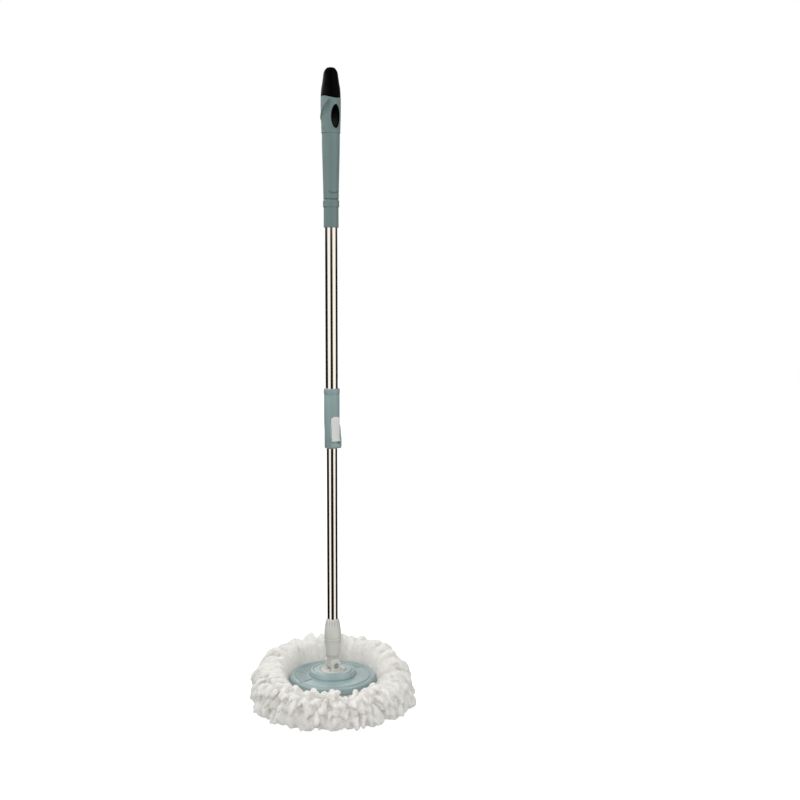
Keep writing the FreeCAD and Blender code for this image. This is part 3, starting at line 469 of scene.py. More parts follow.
def grip_relief(angle, height, radius):
    """Raised and recessed lines on the grip's outside, in metres."""
    degrees = np.degrees(angle)
    relief = np.zeros_like(radius)
    # the long ridge that sweeps from under the cap round to the left
    sweep = np.clip((235 - degrees) / 85, 0, 1)
    ridge_z = CAP_EDGE - 3 * MM - 34 * MM * sweep ** 1.25
    lengthwise = smooth_step(degrees, 140, 156) * smooth_step(245 - degrees, 0, 16)
    relief += 1.2 * MM * bell(height - ridge_z, 2.4 * MM) * lengthwise
    under = smooth_step(ridge_z - height, 0, 3 * MM) * smooth_step(height - (ridge_z - 26 * MM), 0, 22 * MM)
    relief -= 0.35 * MM * under * lengthwise
    # the ledge where the swelling begins, and the line over the bead
    relief += 0.35 * MM * bell(height - (GRIP_TOP - 112.6 * MM), 1.8 * MM)
    relief -= 0.6 * MM * bell(height - (GRIP_BOTTOM + 49.4 * MM), 1.3 * MM)
    # the low curved line near the bead
    curve_z = GRIP_BOTTOM + 60 * MM + 5 * MM * ((degrees - 262) / 55) ** 2
    relief -= 0.55 * MM * bell(height - curve_z, 1.5 * MM) * smooth_step(55 - np.abs(degrees - 270), 0, 14)
    # the lip round the hanging hole, front and back
    across, up = np.cos(angle) * radius, height - HOLE_Z
    half_w, half_h = 8.8 * MM, HOLE_HALF
    ovalness = np.sqrt((across / half_w) ** 2 + (up / half_h) ** 2) + 1e-9
    slope = np.sqrt((across / half_w ** 2) ** 2 + (up / half_h ** 2) ** 2) / ovalness
    away = (ovalness - 1) / (slope + 1e-9)
    relief += 0.8 * MM * bell(away - 0.6 * MM, 2.4 * MM) * (np.abs(np.sin(angle)) > 0.4)
    return relief


class MOP_OT_grip(bpy.types.Operator):
    """Make the grip with its swelling, ledge, lines and hanging hole"""
    bl_idname = "mop.grip"
    bl_label = "Grip"

    def execute(self, context):
        low_z = GRIP_BOTTOM / MM
        collar = rounded([(11.3, 0), (13.2, 0), (13.2, 36.0), (14.4, 36.0), (14.4, 47.0), (13.6, 48.4)], 0.7)
        swell = curved([(13.6, 48.4), (14.0, 73.2), (14.9, 108.2), (15.6, 138.2), (15.9, 163.6)])
        ledge = [(16.5, 164.3)]
        belly = curved([(16.6, 165.2), (17.0, 174.7), (17.5, 193.7), (17.8, 211.7), (17.7, 225.4)])
        outer = resampled(collar + swell[1:] + ledge + belly, 1.0)
        rows = len(outer)
        tube_top = TUBE_TOP / MM - low_z
        inner = [(17.3, 225.7), (15.2, 225.5), (15.1, 196.0), (0.0, 196.0), (0.0, tube_top + 0.1),
                 (11.05, tube_top + 0.1), (11.05, 0.3)]
        inner = resampled(inner[:3], 2.0) + inner[3:]
        outline = mm([(radius, height + low_z) for radius, height in outer + inner])

        def shape(angle, radius, height):
            outside = slice(0, rows)
            relief = grip_relief(angle[:, outside], height[:, outside], radius[:, outside])
            painted_shade = np.zeros_like(radius)
            # painted shade: the colour darkens with the depth of the grip's recessed lines, where shade falls
            painted_shade[:, outside] = np.clip(-relief / (0.6 * MM), 0, 1)
            radius[:, outside] += relief
            height += cap_wave(angle, height) * (radius > 15.0 * MM)
            return radius, height, painted_shade

        mesh = lathe("grip", outline, 168, shape)
        hole = prism(oval_outline(8.8 * MM, HOLE_HALF, HOLE_Z), -0.03, 0.03)
        mesh = cleaned(boolean(mesh, [hole]), 1e-6)
        finish = plastic("grip_moulded", context.scene.mop_finish.grip, 0.42, 0.52, 1800.0, 0.00005)
        piece("grip_moulded", mesh, finish, "handle", ("grip",), crease=50)
        return {"FINISHED"}


def hole_lining():
    """The lining of the hanging hole. It follows the grip's round front and back."""
    outer = oval_outline(8.75 * MM, HOLE_HALF - 0.05 * MM, HOLE_Z)
    clear = oval_outline(5.6 * MM, HOLE_HALF - 3.2 * MM, HOLE_Z)
    count, steps = len(outer), 7
    rings = [(outer, 0.35)]
    for step in range(steps):
        t = step / (steps - 1)
        points = [(a[0] + (b[0] - a[0]) * t, a[1] + (b[1] - a[1]) * t) for a, b in zip(outer, clear)]
        rings.append((points, 0.6 + 0.5 * math.sin(math.pi * min(1.0, t * 1.1 + 0.15)) - 0.7 * t * t))
    verts, faces = [], []
    for side in (-1, 1):
        for points, rise in rings:
            for x, z in points:
                grip_round = 17.55 * MM - 0.0004 * abs(z - HOLE_Z) / HOLE_HALF
                depth = math.sqrt(max(grip_round * grip_round - x * x, 0)) - 0.8 * MM + rise * MM
                verts.append((x, side * depth, z))
    half = len(rings) * count
    for side in (0, 1):
        for ring in range(len(rings) - 1):
            near = side * half + ring * count
            for i in range(count):
                j = (i + 1) % count
                faces.append((near + i, near + j, near + count + j, near + count + i))
    for start in (0, half - count):
        for i in range(count):
            j = (i + 1) % count
            faces.append((start + i, start + j, half + start + j, half + start + i))
    mesh = mesh_from("lining", verts, faces)
    work = bmesh.new()
    work.from_mesh(mesh)
    bmesh.ops.recalc_face_normals(work, faces=work.faces)
    return settled(work, mesh)


class MOP_OT_cap(bpy.types.Operator):
    """Make the black cap and the lining of the hanging hole"""
    bl_idname = "mop.cap"
    bl_label = "Cap"

    def execute(self, context):
        dome = curved([(0.0, 0.0), (4.0, -0.55), (7.6, -2.0), (11.2, -6.6), (13.1, -13.0), (15.3, -27.5),
                       (16.9, -37.5), (17.6, -51.5)])
        inner = [(17.3, -51.8), (15.05, -51.8), (15.0, -61.0), (12.4, -61.0), (12.4, -45.0), (8.0, -14.0),
                 (0.0, -8.0)]
        top = GRIP_TOP / MM
        outline = mm([(max(radius, 0.0), height + top) for radius, height in resampled(dome, 1.2) + inner])

        def shape(angle, radius, height):
            height += cap_wave(angle, height)
            # three shallow flats, as moulded
            side = smooth_step(GRIP_TOP - height, 6 * MM, 20 * MM)
            side *= smooth_step(height - CAP_EDGE, 2 * MM, 16 * MM)
            radius -= 0.35 * MM * side * (0.5 - 0.5 * np.cos(3 * angle)) * (radius > 13 * MM)
            return radius, height, np.zeros_like(radius)

        mesh = lathe("cap", outline, 144, shape)
        finish = plastic("cap_black", context.scene.mop_finish.black, 0.10, 0.16, 900.0, 0.00003)
        shader = finish.node_tree.nodes["Principled BSDF"]
        shader.inputs["Specular IOR Level"].default_value = 0.02
        piece("cap_domed", mesh, finish, "handle", ("end_cap",), crease=50)

        rubber = plastic("hole_lining", context.scene.mop_finish.black, 0.45, 0.6, 1500.0, 0.00006)
        rubber.node_tree.nodes["Principled BSDF"].inputs["Specular IOR Level"].default_value = 0.02
        lining = hole_lining()
        piece("hole_lining", lining, rubber, "handle", ("hang_eyelet",), crease=50)
        return {"FINISHED"}


# ---------------------------------------------------------------- tubes
class MOP_OT_tubes(bpy.types.Operator):
    """Make the two polished tubes"""
    bl_idname = "mop.tubes"
    bl_label = "Tubes"

    def execute(self, context):
        finish = steel("tube_polished", context.scene.mop_finish.steel, 0.07, 0.13)
        wall = 0.7 * MM
        for name, node, body in (("upper_tube_drawn", "upper_tube", "handle"),
                                 ("lower_tube_drawn", "lower_tube", "lower_pole")):
            outer, bottom, top = high(node).x, low(node).z, high(node).z
            outline = rounded([(outer - wall, bottom), (outer, bottom), (outer, top), (outer - wall, top),
                               (outer - wall, bottom)], 0.2 * MM)
            mesh = lathe(name, resampled(outline, 30 * MM), 160)
            piece(name, mesh, finish, body, (node,), crease=50)
        return {"FINISHED"}


# ---------------------------------------------------------------- sleeve, lever, connector and fork
class MOP_OT_joints(bpy.types.Operator):
    """Make the lock sleeve, its lever, the connector and the fork with softened edges"""
    bl_idname = "mop.joints"
    bl_label = "Sleeve, lever, connector and fork"

    def execute(self, context):
        colours = context.scene.mop_finish
        sleeve = plastic("sleeve_moulded", colours.sleeve, 0.4, 0.5, 1800.0, 0.00004)
        lever = plastic("lever_moulded", colours.lever, 0.32, 0.42, 1800.0, 0.00003)
        white = plastic("connector_moulded", colours.white, 0.38, 0.5, 1400.0, 0.00005)
        for node, finish, body, slot, bevel in (("lock_sleeve", sleeve, "handle", "sleeve_plastic", 0.45),
                                                ("lock_lever", lever, "lever", "lever_plastic", 0.55),
                                                ("knuckle", white, "lower_pole", "white_plastic", 0.35)):
            mesh = frame_copy(node, bevel * MM)
            piece(node + "_moulded", mesh, finish, body, (node,), crease=38)

        dish, hub_low = DISH_R / MM, (low("fork_base").z - DISH_TOP) / MM
        outline = rounded([(0, 0), (dish - 2.4, 0), (dish - 1.4, 0.8), (dish - 0.5, 0.8), (dish, 0.2),
                           (dish, -2.9), (HUB_R / MM, -2.9), (HUB_R / MM, hub_low), (0, hub_low)], 0.5)
        parts = [lathe("dish", mm([(radius, DISH_TOP / MM + height) for radius, height in outline]), 128)]
        crown_z, crown_r = PIN_Z / MM + 4.0, 9.4
        turns = np.linspace(0, math.pi, 25)
        round_top = [(crown_r * math.cos(t), crown_z + crown_r * math.sin(t)) for t in turns]
        cheek = [(9.2, DISH_TOP / MM - 0.5), (8.7, DISH_TOP / MM + 2.0)] + round_top
        cheek += [(-8.7, DISH_TOP / MM + 2.0), (-9.2, DISH_TOP / MM - 0.5)]
        for near, far in ((-13.1, -7.5), (7.5, 13.1)):
            parts.append(prism(mm(cheek), near * MM, far * MM, 1.1 * MM))
        piece("fork_moulded", joined("fork", *parts), white, "fork", ("fork_base",), 38)

        top, joint, radius = SOCKET_TOP / MM, JOINT_Z / MM, LOWER_R / MM
        side = curved([(radius + 5.5, joint + 0.5), (radius + 5.85, joint + 10), (radius + 5.6, top - 22),
                       (radius + 4.6, top - 14), (radius + 3.3, top - 5.8)])
        outer = [(radius + 5.1, joint)] + side + [(radius + 1.5, top - 0.5), (radius + 1.0, top)]
        inner = [(radius + 0.05, top), (radius + 0.05, top - 20.8), (radius + 2.05, top - 20.8),
                 (radius + 2.05, joint), (radius + 5.1, joint)]
        outline = mm(resampled(outer, 0.8) + inner[:-1])

        def shape(angle, around, height):
            flutes = smooth_step(height, SOCKET_TOP - 15 * MM, SOCKET_TOP - 6 * MM)
            flutes *= smooth_step(SOCKET_TOP - height, 1 * MM, 4 * MM)
            outside = around > LOWER_R + 1.5 * MM
            flutes *= bell(np.mod(angle * 16 / (2 * math.pi), 1) - 0.5, 0.22) * outside
            seams = bell(height - JOINT_Z - 2.4 * MM, 0.9 * MM)
            seams = (seams + 0.7 * bell(height - JOINT_Z - 8.2 * MM, 0.9 * MM)) * outside
            # painted shade: the colour darkens in the flutes and along the two seam lines, where shade falls
            return around - 0.28 * MM * flutes - 0.3 * MM * seams, height, 0.6 * flutes + 0.45 * seams

        mesh = lathe("connector", outline, 192, shape)
        piece("connector_barrel_moulded", mesh, white, "lower_pole",
              ("connector_barrel",), 40)
        return {"FINISHED"}


# ---------------------------------------------------------------- plate
PARTING_TURN = 7          # degrees that the lines between the plate's halves are turned
GROOVE_R = 73.2           # mm, where the outer groove of each half begins
RING_INNER = 44           # mm, where the plate's flat ring begins


def plate_relief(angle, radius):
    """Grooves and fields on the plate's flat ring, in metres; the ring is split in two halves."""
    degrees = np.degrees(angle)
    turned = np.mod(degrees - PARTING_TURN, 360)
    share = np.mod(turned, 180) / 180
    relief = np.zeros_like(radius)
    # each half has its own outer groove that winds slightly inward
    groove = (GROOVE_R - 5.4 * share) * MM
    relief -= 1.5 * MM * bell(radius - groove, 1.8 * MM)
    relief += 0.4 * MM * bell(radius - groove + 2.9 * MM, 1.8 * MM)
    # the lines that part the halves
    apart = np.minimum(np.mod(turned, 180), 180 - np.mod(turned, 180))
    sideways = radius * np.radians(apart)
    inside = smooth_step(radius, 44.5 * MM, 46 * MM) * smooth_step(GROOVE_R * MM - radius, 0, 1.5 * MM)
    relief -= 1.5 * MM * bell(sideways, 2.0 * MM) * inside
    relief += 0.4 * MM * bell(sideways - 3.0 * MM, 1.8 * MM) * inside
    # the field of the back half lies a little lower
    field = smooth_step(radius, 47 * MM, 48 * MM) * smooth_step(groove - 2.5 * MM - radius, 0, 1 * MM)
    back = (turned < 180) * smooth_step(sideways, 2.5 * MM, 3.5 * MM)
    relief -= 0.5 * MM * field * back
    return relief


class MOP_OT_plate(bpy.types.Operator):
    """Make the round plate with its rim, grooves and raised middle"""
    bl_idname = "mop.plate"
    bl_label = "Plate"

    def execute(self, context):
        flat, plateau, skirt_z = PLATE_Z / MM, PLATEAU_Z / MM, SKIRT_Z / MM
        skirt, seat = SKIRT_R / MM, DISH_R / MM + 0.4
        middle = rounded([(seat, plateau - 3.3), (seat, plateau), (40.5, plateau), (43.2, flat),
                          (50, flat)], 1.3, 6)
        rim = rounded([(66, flat), (skirt - 5.9, flat), (skirt, skirt_z), (skirt - 2.4, skirt_z)], 2.0, 7)
        bottom = [(skirt - 2.4, skirt_z), (skirt - 8.1, flat - 2.4), (41.5, flat - 2.4), (38.5, plateau - 2.4),
                  (seat + 2.4, plateau - 2.4), (seat + 2.4, skirt_z + 11.5), (HUB_R / MM + 0.3, skirt_z + 11.5),
                  (HUB_R / MM + 0.3, plateau - 3.5), (seat, plateau - 3.5)]
        outer = resampled(middle + rim, 0.45)
        rows = len(outer)
        outline = mm(outer + bottom[1:-1])

        def shape(angle, radius, height):
            outside = slice(0, rows)
            high_up = height[:, outside] > (flat - 0.5) * MM
            on_ring = high_up * (radius[:, outside] > RING_INNER * MM)
            relief = plate_relief(angle[:, outside], radius[:, outside]) * on_ring
            height[:, outside] += relief
            on_top = height[:, outside] > (plateau - 0.4) * MM
            ring_line = bell(radius[:, outside] - 35.5 * MM, 1.3 * MM)
            height[:, outside] -= 1.0 * MM * ring_line * on_top
            # painted shade: darker in the grooves, along the ring line on the raised middle, round the middle's
            # foot and on the slanting skirt, which is turned from the light
            painted_shade = np.zeros_like(radius)
            foot_shade = bell(radius[:, outside] - 43.6 * MM, 1.6 * MM)
            edge = smooth_step(radius[:, outside], (skirt - 4.6) * MM, (skirt - 3.4) * MM)
            grooves = np.clip(-1.2 * relief / MM - 0.3, 0, 1)
            painted_shade[:, outside] = grooves + 0.8 * ring_line * on_top + 0.6 * foot_shade + 0.5 * edge
            away = radius[:, outside] - RING_INNER * MM
            height[:, outside] -= 0.055 * away * on_ring * (1 - smooth_step(away, 29 * MM, 32 * MM))
            return radius, height, painted_shade

        mesh = lathe("plate", outline, 360, shape)
        under = skirt_z - 0.2
        wall = mm([(64.0, under), (64.0, flat - 1.9), (62.0, flat - 1.9), (62.0, under)])
        parts = [mesh, lathe("clip_wall", wall, 96)]
        for index in range(6):
            turn = math.radians(60 * index)
            middle_r = 51.75 * MM
            place = (middle_r * math.cos(turn), middle_r * math.sin(turn), (flat - 4.7) * MM)
            parts.append(block((22.5 * MM, 2 * MM, 5.4 * MM), place, turn, 0.3 * MM))
        finish, tree, shader = material("plate_moulded")
        base = context.scene.mop_finish.plate
        tree.links.new(tinted(tree, object_noise(tree, 60.0), base), shader.inputs["Base Color"])
        tree.links.new(between(tree, object_noise(tree, 160.0, 6.0), 0.26, 0.36), shader.inputs["Roughness"])
        shader.inputs["Coat Weight"].default_value = 0.5
        shader.inputs["Coat Roughness"].default_value = 0.22
        # fine slanting hatch in the back half's field
        place = add(tree, "ShaderNodeTexCoord").outputs["Object"]
        split = add(tree, "ShaderNodeSeparateXYZ", {0: place}).outputs
        across = add(tree, "ShaderNodeCombineXYZ", {0: split[0], 1: split[1]}).outputs[0]
        reach = vectors(tree, "LENGTH", across, out=1)
        parting = math.radians(PARTING_TURN)
        lean = maths(tree, "SUBTRACT", maths(tree, "MULTIPLY", split[1], math.cos(parting)),
                     maths(tree, "MULTIPLY", split[0], math.sin(parting)))
        stripes = maths(tree, "SINE", maths(tree, "MULTIPLY", maths(tree, "ADD", split[0], split[1]), 3200.0))
        inside = maths(tree, "MULTIPLY", maths(tree, "GREATER_THAN", reach, 0.049),
                       maths(tree, "LESS_THAN", reach, 0.066))
        inside = maths(tree, "MULTIPLY", inside, maths(tree, "GREATER_THAN", lean, 0.004))
        hatch = maths(tree, "MULTIPLY", stripes, inside)
        both = maths(tree, "MULTIPLY_ADD", object_noise(tree, 1800.0, 2.0), 0.3, hatch)
        bumped(tree, shader, both, 0.00008, 0.8)
        piece("plate_moulded", joined("plate", *parts), finish, "plate", ("mop_plate",), 45)
        return {"FINISHED"}


# ---------------------------------------------------------------- small fasteners, set out by Geometry Nodes
def ring_tree():
    """Geometry Nodes: copies of one piece, evenly round the pole."""
    tree = bpy.data.node_groups.new("ring_of_pieces", "GeometryNodeTree")
    face = tree.interface
    face.new_socket("Geometry", in_out="OUTPUT", socket_type="NodeSocketGeometry")
    for name, kind, default in (("Count", "NodeSocketInt", 4), ("Radius", "NodeSocketFloat", 0.01),
                                ("Height", "NodeSocketFloat", 0.0), ("First", "NodeSocketFloat", 0.0)):
        face.new_socket(name, in_out="INPUT", socket_type=kind).default_value = default
    face.new_socket("Piece", in_out="INPUT", socket_type="NodeSocketObject")
    face.new_socket("Finish", in_out="INPUT", socket_type="NodeSocketMaterial")
    given = add(tree, "NodeGroupInput").outputs
    index = add(tree, "GeometryNodeInputIndex").outputs[0]
    share = maths(tree, "DIVIDE", index, given["Count"])
    turn = maths(tree, "MULTIPLY_ADD", share, 2 * math.pi, given["First"])
    place = polar(tree, turn, given["Radius"], given["Height"])
    points = add(tree, "GeometryNodePoints", {"Count": given["Count"], "Position": place}).outputs[0]
    one = add(tree, "GeometryNodeObjectInfo", {"Object": given["Piece"]}).outputs["Geometry"]
    facing = add(tree, "ShaderNodeCombineXYZ", {2: turn}).outputs[0]
    copies = add(tree, "GeometryNodeInstanceOnPoints",
                 {"Points": points, "Instance": one, "Rotation": facing}).outputs[0]
    mesh = add(tree, "GeometryNodeRealizeInstances", {"Geometry": copies}).outputs[0]
    mesh = add(tree, "GeometryNodeSetMaterial", {"Geometry": mesh, "Material": given["Finish"]}).outputs[0]
    add(tree, "NodeGroupOutput", {"Geometry": mesh})
    return tree


class MOP_OT_fasteners(bpy.types.Operator):
    """Make the fork's screws and the refill's rivets"""
    bl_idname = "mop.fasteners"
    bl_label = "Screws and rivets"

    def execute(self, context):
        finish = steel("screw_steel", context.scene.mop_finish.steel, 0.25, 0.4, (500, 500, 500))
        tree = ring_tree()
        screw_low = low("base_screws").z - DISH_TOP
        head = rounded(mm([(0, 1.3), (1.6, 1.25), (2.5, 0.5), (2.5, 0.05), (1.5, 0.05)]), 0.4 * MM)
        screw = lathe("screw", head + [(1.5 * MM, screw_low), (0, screw_low)], 24)
        slot = (3.4 * MM, 0.7 * MM, 1.6 * MM)
        cross = [block(slot, (0, 0, 1.5 * MM), turn) for turn in (0.4, 0.4 + math.pi / 2)]
        screw = boolean(screw, cross)
        band = low("refill_rivets").z
        rivet_top = high("refill_rivets").z - band
        rivet = lathe("rivet", rounded(mm([(0, 0), (2.6, 0.25), (3.2, 1.0), (2.0, 1.0)]), 0.4 * MM)
                      + [(2.0 * MM, rivet_top), (0, rivet_top)], 24)
        ring_r = (high("refill_rivets").x - low("refill_rivets").x) / 2 - 3.2 * MM
        screw_r = (high("base_screws").x - 2.5 * MM) * math.sqrt(2)
        for name, one, count, radius, height, first, body, node in (
                ("fork_screws", screw, 4, screw_r, DISH_TOP, math.radians(45), "fork", "base_screws"),
                ("refill_rivets_set", rivet, 12, ring_r, band, 0.0, "plate", "refill_rivets")):
            pattern = bpy.data.objects.new(name + "_pattern", one)
            bpy.context.scene.collection.objects.link(pattern)
            mesh = grown(tree, name, {"Count": count, "Radius": radius, "Height": height, "First": first,
                                      "Piece": pattern, "Finish": finish})
            bpy.data.objects.remove(pattern)
            piece(name, mesh, finish, body, (node,), crease=35)
        return {"FINISHED"}


# ---------------------------------------------------------------- fringe
def strand_tree(finish):
    """Geometry Nodes: a ring of soft loops, each an arch from the refill's ring to its tip."""
    tree = bpy.data.node_groups.new("strand_layer", "GeometryNodeTree")
    face = tree.interface
    face.new_socket("Geometry", in_out="OUTPUT", socket_type="NodeSocketGeometry")
    numbers = [("Count", "NodeSocketInt", 170), ("Points", "NodeSocketInt", 40), ("Sides", "NodeSocketInt", 10),
               ("Seed", "NodeSocketInt", 1), ("Thickness", "NodeSocketFloat", 0.004),
               ("Fluff", "NodeSocketFloat", 0.001), ("Wander", "NodeSocketFloat", 0.008),
               ("Back Lift", "NodeSocketFloat", 0.0), ("Uneven", "NodeSocketFloat", 0.12),
               ("Root", "NodeSocketVector", (0, 0, 0)), ("Rise", "NodeSocketVector", (0, 0, 0)),
               ("Fall", "NodeSocketVector", (0, 0, 0)), ("Tip", "NodeSocketVector", (0, 0, 0))]
    for name, kind, default in numbers:
        face.new_socket(name, in_out="INPUT", socket_type=kind).default_value = default
    given = add(tree, "NodeGroupInput").outputs
    count, seed = given["Count"], given["Seed"]

    index = add(tree, "GeometryNodeInputIndex").outputs[0]

    def chance(low_value, high_value, salt):
        salted = maths(tree, "ADD", seed, float(salt))
        node = add(tree, "FunctionNodeRandomValue", {"ID": index, "Seed": salted}, data_type="FLOAT")
        node.inputs[2].default_value = low_value
        node.inputs[3].default_value = high_value
        return node.outputs[1]

    points = add(tree, "GeometryNodePoints", {"Count": count}).outputs[0]
    stored = points
    facts = {
        "turn": maths(tree, "DIVIDE", maths(tree, "ADD", index, chance(-0.45, 0.45, 1)), count),
        "reach": chance(-1.0, 1.0, 2),
        "lift": chance(-1.0, 1.0, 3),
        "phase": chance(0.0, 100.0, 4),
        "girth": chance(0.78, 1.28, 5),
    }
    for name, value in facts.items():
        stored = add(tree, "GeometryNodeStoreNamedAttribute",
                     {"Geometry": stored, "Name": name, "Value": value},
                     data_type="FLOAT", domain="POINT").outputs[0]
    line = add(tree, "GeometryNodeCurvePrimitiveLine", {"Start": (0, 0, 0), "End": (1, 0, 0)}).outputs[0]
    line = add(tree, "GeometryNodeResampleCurve", {"Curve": line, "Count": given["Points"]}).outputs[0]
    copies = add(tree, "GeometryNodeInstanceOnPoints", {"Points": stored, "Instance": line}).outputs[0]
    curves = add(tree, "GeometryNodeRealizeInstances", {"Geometry": copies}).outputs[0]

    def fact(name):
        return add(tree, "GeometryNodeInputNamedAttribute", {"Name": name}, data_type="FLOAT").outputs[0]

    along = add(tree, "GeometryNodeSplineParameter").outputs["Factor"]
    back = maths(tree, "SUBTRACT", 1.0, along)
    turn = maths(tree, "MULTIPLY", fact("turn"), 2 * math.pi)
    uneven = given["Uneven"]
    # neighbours clump: a slow noise round the ring stretches and lifts them together
    spot = add(tree, "ShaderNodeCombineXYZ", {0: maths(tree, "COSINE", turn), 1: maths(tree, "SINE", turn),
                                              2: maths(tree, "MULTIPLY", seed, 0.01)}).outputs[0]
    clump = add(tree, "ShaderNodeTexNoise", {"Vector": spot, "Scale": 5.5, "Detail": 2.0}).outputs["Color"]
    clump = split_up(tree, vectors(tree, "SUBTRACT", clump, (0.5, 0.5, 0.5)))
    reach = maths(tree, "MULTIPLY_ADD", fact("reach"), uneven, maths(tree, "MULTIPLY_ADD", clump[0], 0.55, 1.0))
    lift = maths(tree, "MULTIPLY_ADD", fact("lift"), uneven, maths(tree, "MULTIPLY_ADD", clump[1], 0.5, 1.0))

    # a cubic path through four (radius, 0, height) points
    weights = [maths(tree, "POWER", back, 3.0),
               maths(tree, "MULTIPLY", maths(tree, "MULTIPLY", maths(tree, "POWER", back, 2.0), along), 3.0),
               maths(tree, "MULTIPLY", maths(tree, "MULTIPLY", maths(tree, "POWER", along, 2.0), back), 3.0),
               maths(tree, "POWER", along, 3.0)]
    path = None
    for weight, name in zip(weights, ("Root", "Rise", "Fall", "Tip")):
        part = scaled(tree, given[name], weight)
        path = part if path is None else vectors(tree, "ADD", path, part)
    split = add(tree, "ShaderNodeSeparateXYZ", {0: path}).outputs

    # wandering: the same noise field for all, read at a place of each strand's own
    phase = fact("phase")
    slow = maths(tree, "MULTIPLY", along, 2.6)
    spot = add(tree, "ShaderNodeCombineXYZ", {0: slow, 1: phase, 2: seed}).outputs[0]
    drift = add(tree, "ShaderNodeTexNoise", {"Vector": spot, "Scale": 1.0, "Detail": 2.0}).outputs["Color"]
    drift = split_up(tree, vectors(tree, "SUBTRACT", drift, (0.5, 0.5, 0.5)))
    grows = maths(tree, "MULTIPLY", maths(tree, "POWER", along, 0.7), 4.0)
    grows = maths(tree, "MULTIPLY", given["Wander"], grows)
    sideways = maths(tree, "MULTIPLY", drift[0], grows)
    outward = maths(tree, "MULTIPLY", drift[1], maths(tree, "MULTIPLY", grows, 0.7))
    upward = maths(tree, "MULTIPLY", drift[2], maths(tree, "MULTIPLY", grows, 0.8))

    # the reach stretches only what lies past the root
    root_r = add(tree, "ShaderNodeSeparateXYZ", {0: given["Root"]}).outputs[0]
    past = maths(tree, "SUBTRACT", split[0], root_r)
    radius = maths(tree, "ADD", maths(tree, "MULTIPLY_ADD", past, reach, root_r), outward)
    angle = maths(tree, "ADD", turn, maths(tree, "DIVIDE", sideways, radius))
    facing = maths(tree, "COSINE", maths(tree, "SUBTRACT", turn, math.radians(60)))
    facing = maths(tree, "MULTIPLY_ADD", facing, 0.80, 0.20)
    crest = maths(tree, "SINE", maths(tree, "MULTIPLY", maths(tree, "POWER", along, 0.8), math.pi))
    raised = maths(tree, "MULTIPLY", maths(tree, "MULTIPLY", facing, given["Back Lift"]), crest)
    height = maths(tree, "ADD", maths(tree, "MULTIPLY_ADD", split[2], lift, upward), raised)
    height = maths(tree, "MAXIMUM", height, maths(tree, "MULTIPLY", given["Thickness"], 1.4))
    place = polar(tree, angle, radius, height)
    curves = add(tree, "GeometryNodeSetPosition", {"Geometry": curves, "Position": place}).outputs[0]

    # girth: round ends, and knots of pile along the way
    ends = maths(tree, "MINIMUM", maths(tree, "MULTIPLY", back, 9.0), 1.0)
    ends = maths(tree, "SQRT", maths(tree, "MAXIMUM", maths(tree, "SUBTRACT", 1.0, maths(
        tree, "POWER", maths(tree, "SUBTRACT", 1.0, ends), 2.0)), 0.02))
    quick = maths(tree, "MULTIPLY", along, 7.0)
    knots = add(tree, "ShaderNodeCombineXYZ", {0: quick, 1: phase, 2: 3.0}).outputs[0]
    knots = add(tree, "ShaderNodeTexNoise", {"Vector": knots, "Scale": 1.0, "Detail": 1.0}).outputs["Fac"]
    girth = maths(tree, "MULTIPLY", fact("girth"), maths(tree, "MULTIPLY_ADD", knots, 0.6, 0.7))
    girth = maths(tree, "MULTIPLY", maths(tree, "MULTIPLY", girth, given["Thickness"]), ends)
    curves = add(tree, "GeometryNodeSetCurveRadius", {"Curve": curves, "Radius": girth}).outputs[0]
    hoop = add(tree, "GeometryNodeCurvePrimitiveCircle",
               {"Resolution": given["Sides"], "Radius": 1.0}).outputs[0]
    mesh = add(tree, "GeometryNodeCurveToMesh", {"Curve": curves, "Profile Curve": hoop, "Fill Caps": True})
    if "Scale" in mesh.inputs:
        tree.links.new(girth, mesh.inputs["Scale"])
    mesh = mesh.outputs[0]

    # soft lumps on the surface
    here = add(tree, "GeometryNodeInputPosition").outputs[0]
    lumps = add(tree, "ShaderNodeTexNoise", {"Vector": here, "Scale": 210.0, "Detail": 2.0}).outputs["Fac"]
    push = maths(tree, "SUBTRACT", lumps, 0.5)
    push = maths(tree, "MULTIPLY", push, maths(tree, "MULTIPLY", given["Fluff"], 4.0))
    normal = add(tree, "GeometryNodeInputNormal").outputs[0]
    push = scaled(tree, normal, push)
    mesh = add(tree, "GeometryNodeSetPosition", {"Geometry": mesh, "Offset": push}).outputs[0]
    mesh = add(tree, "GeometryNodeRealizeInstances", {"Geometry": mesh}).outputs[0]
    mesh = add(tree, "GeometryNodeSetMaterial", {"Geometry": mesh, "Material": finish}).outputs[0]
    add(tree, "NodeGroupOutput", {"Geometry": mesh})
    return tree


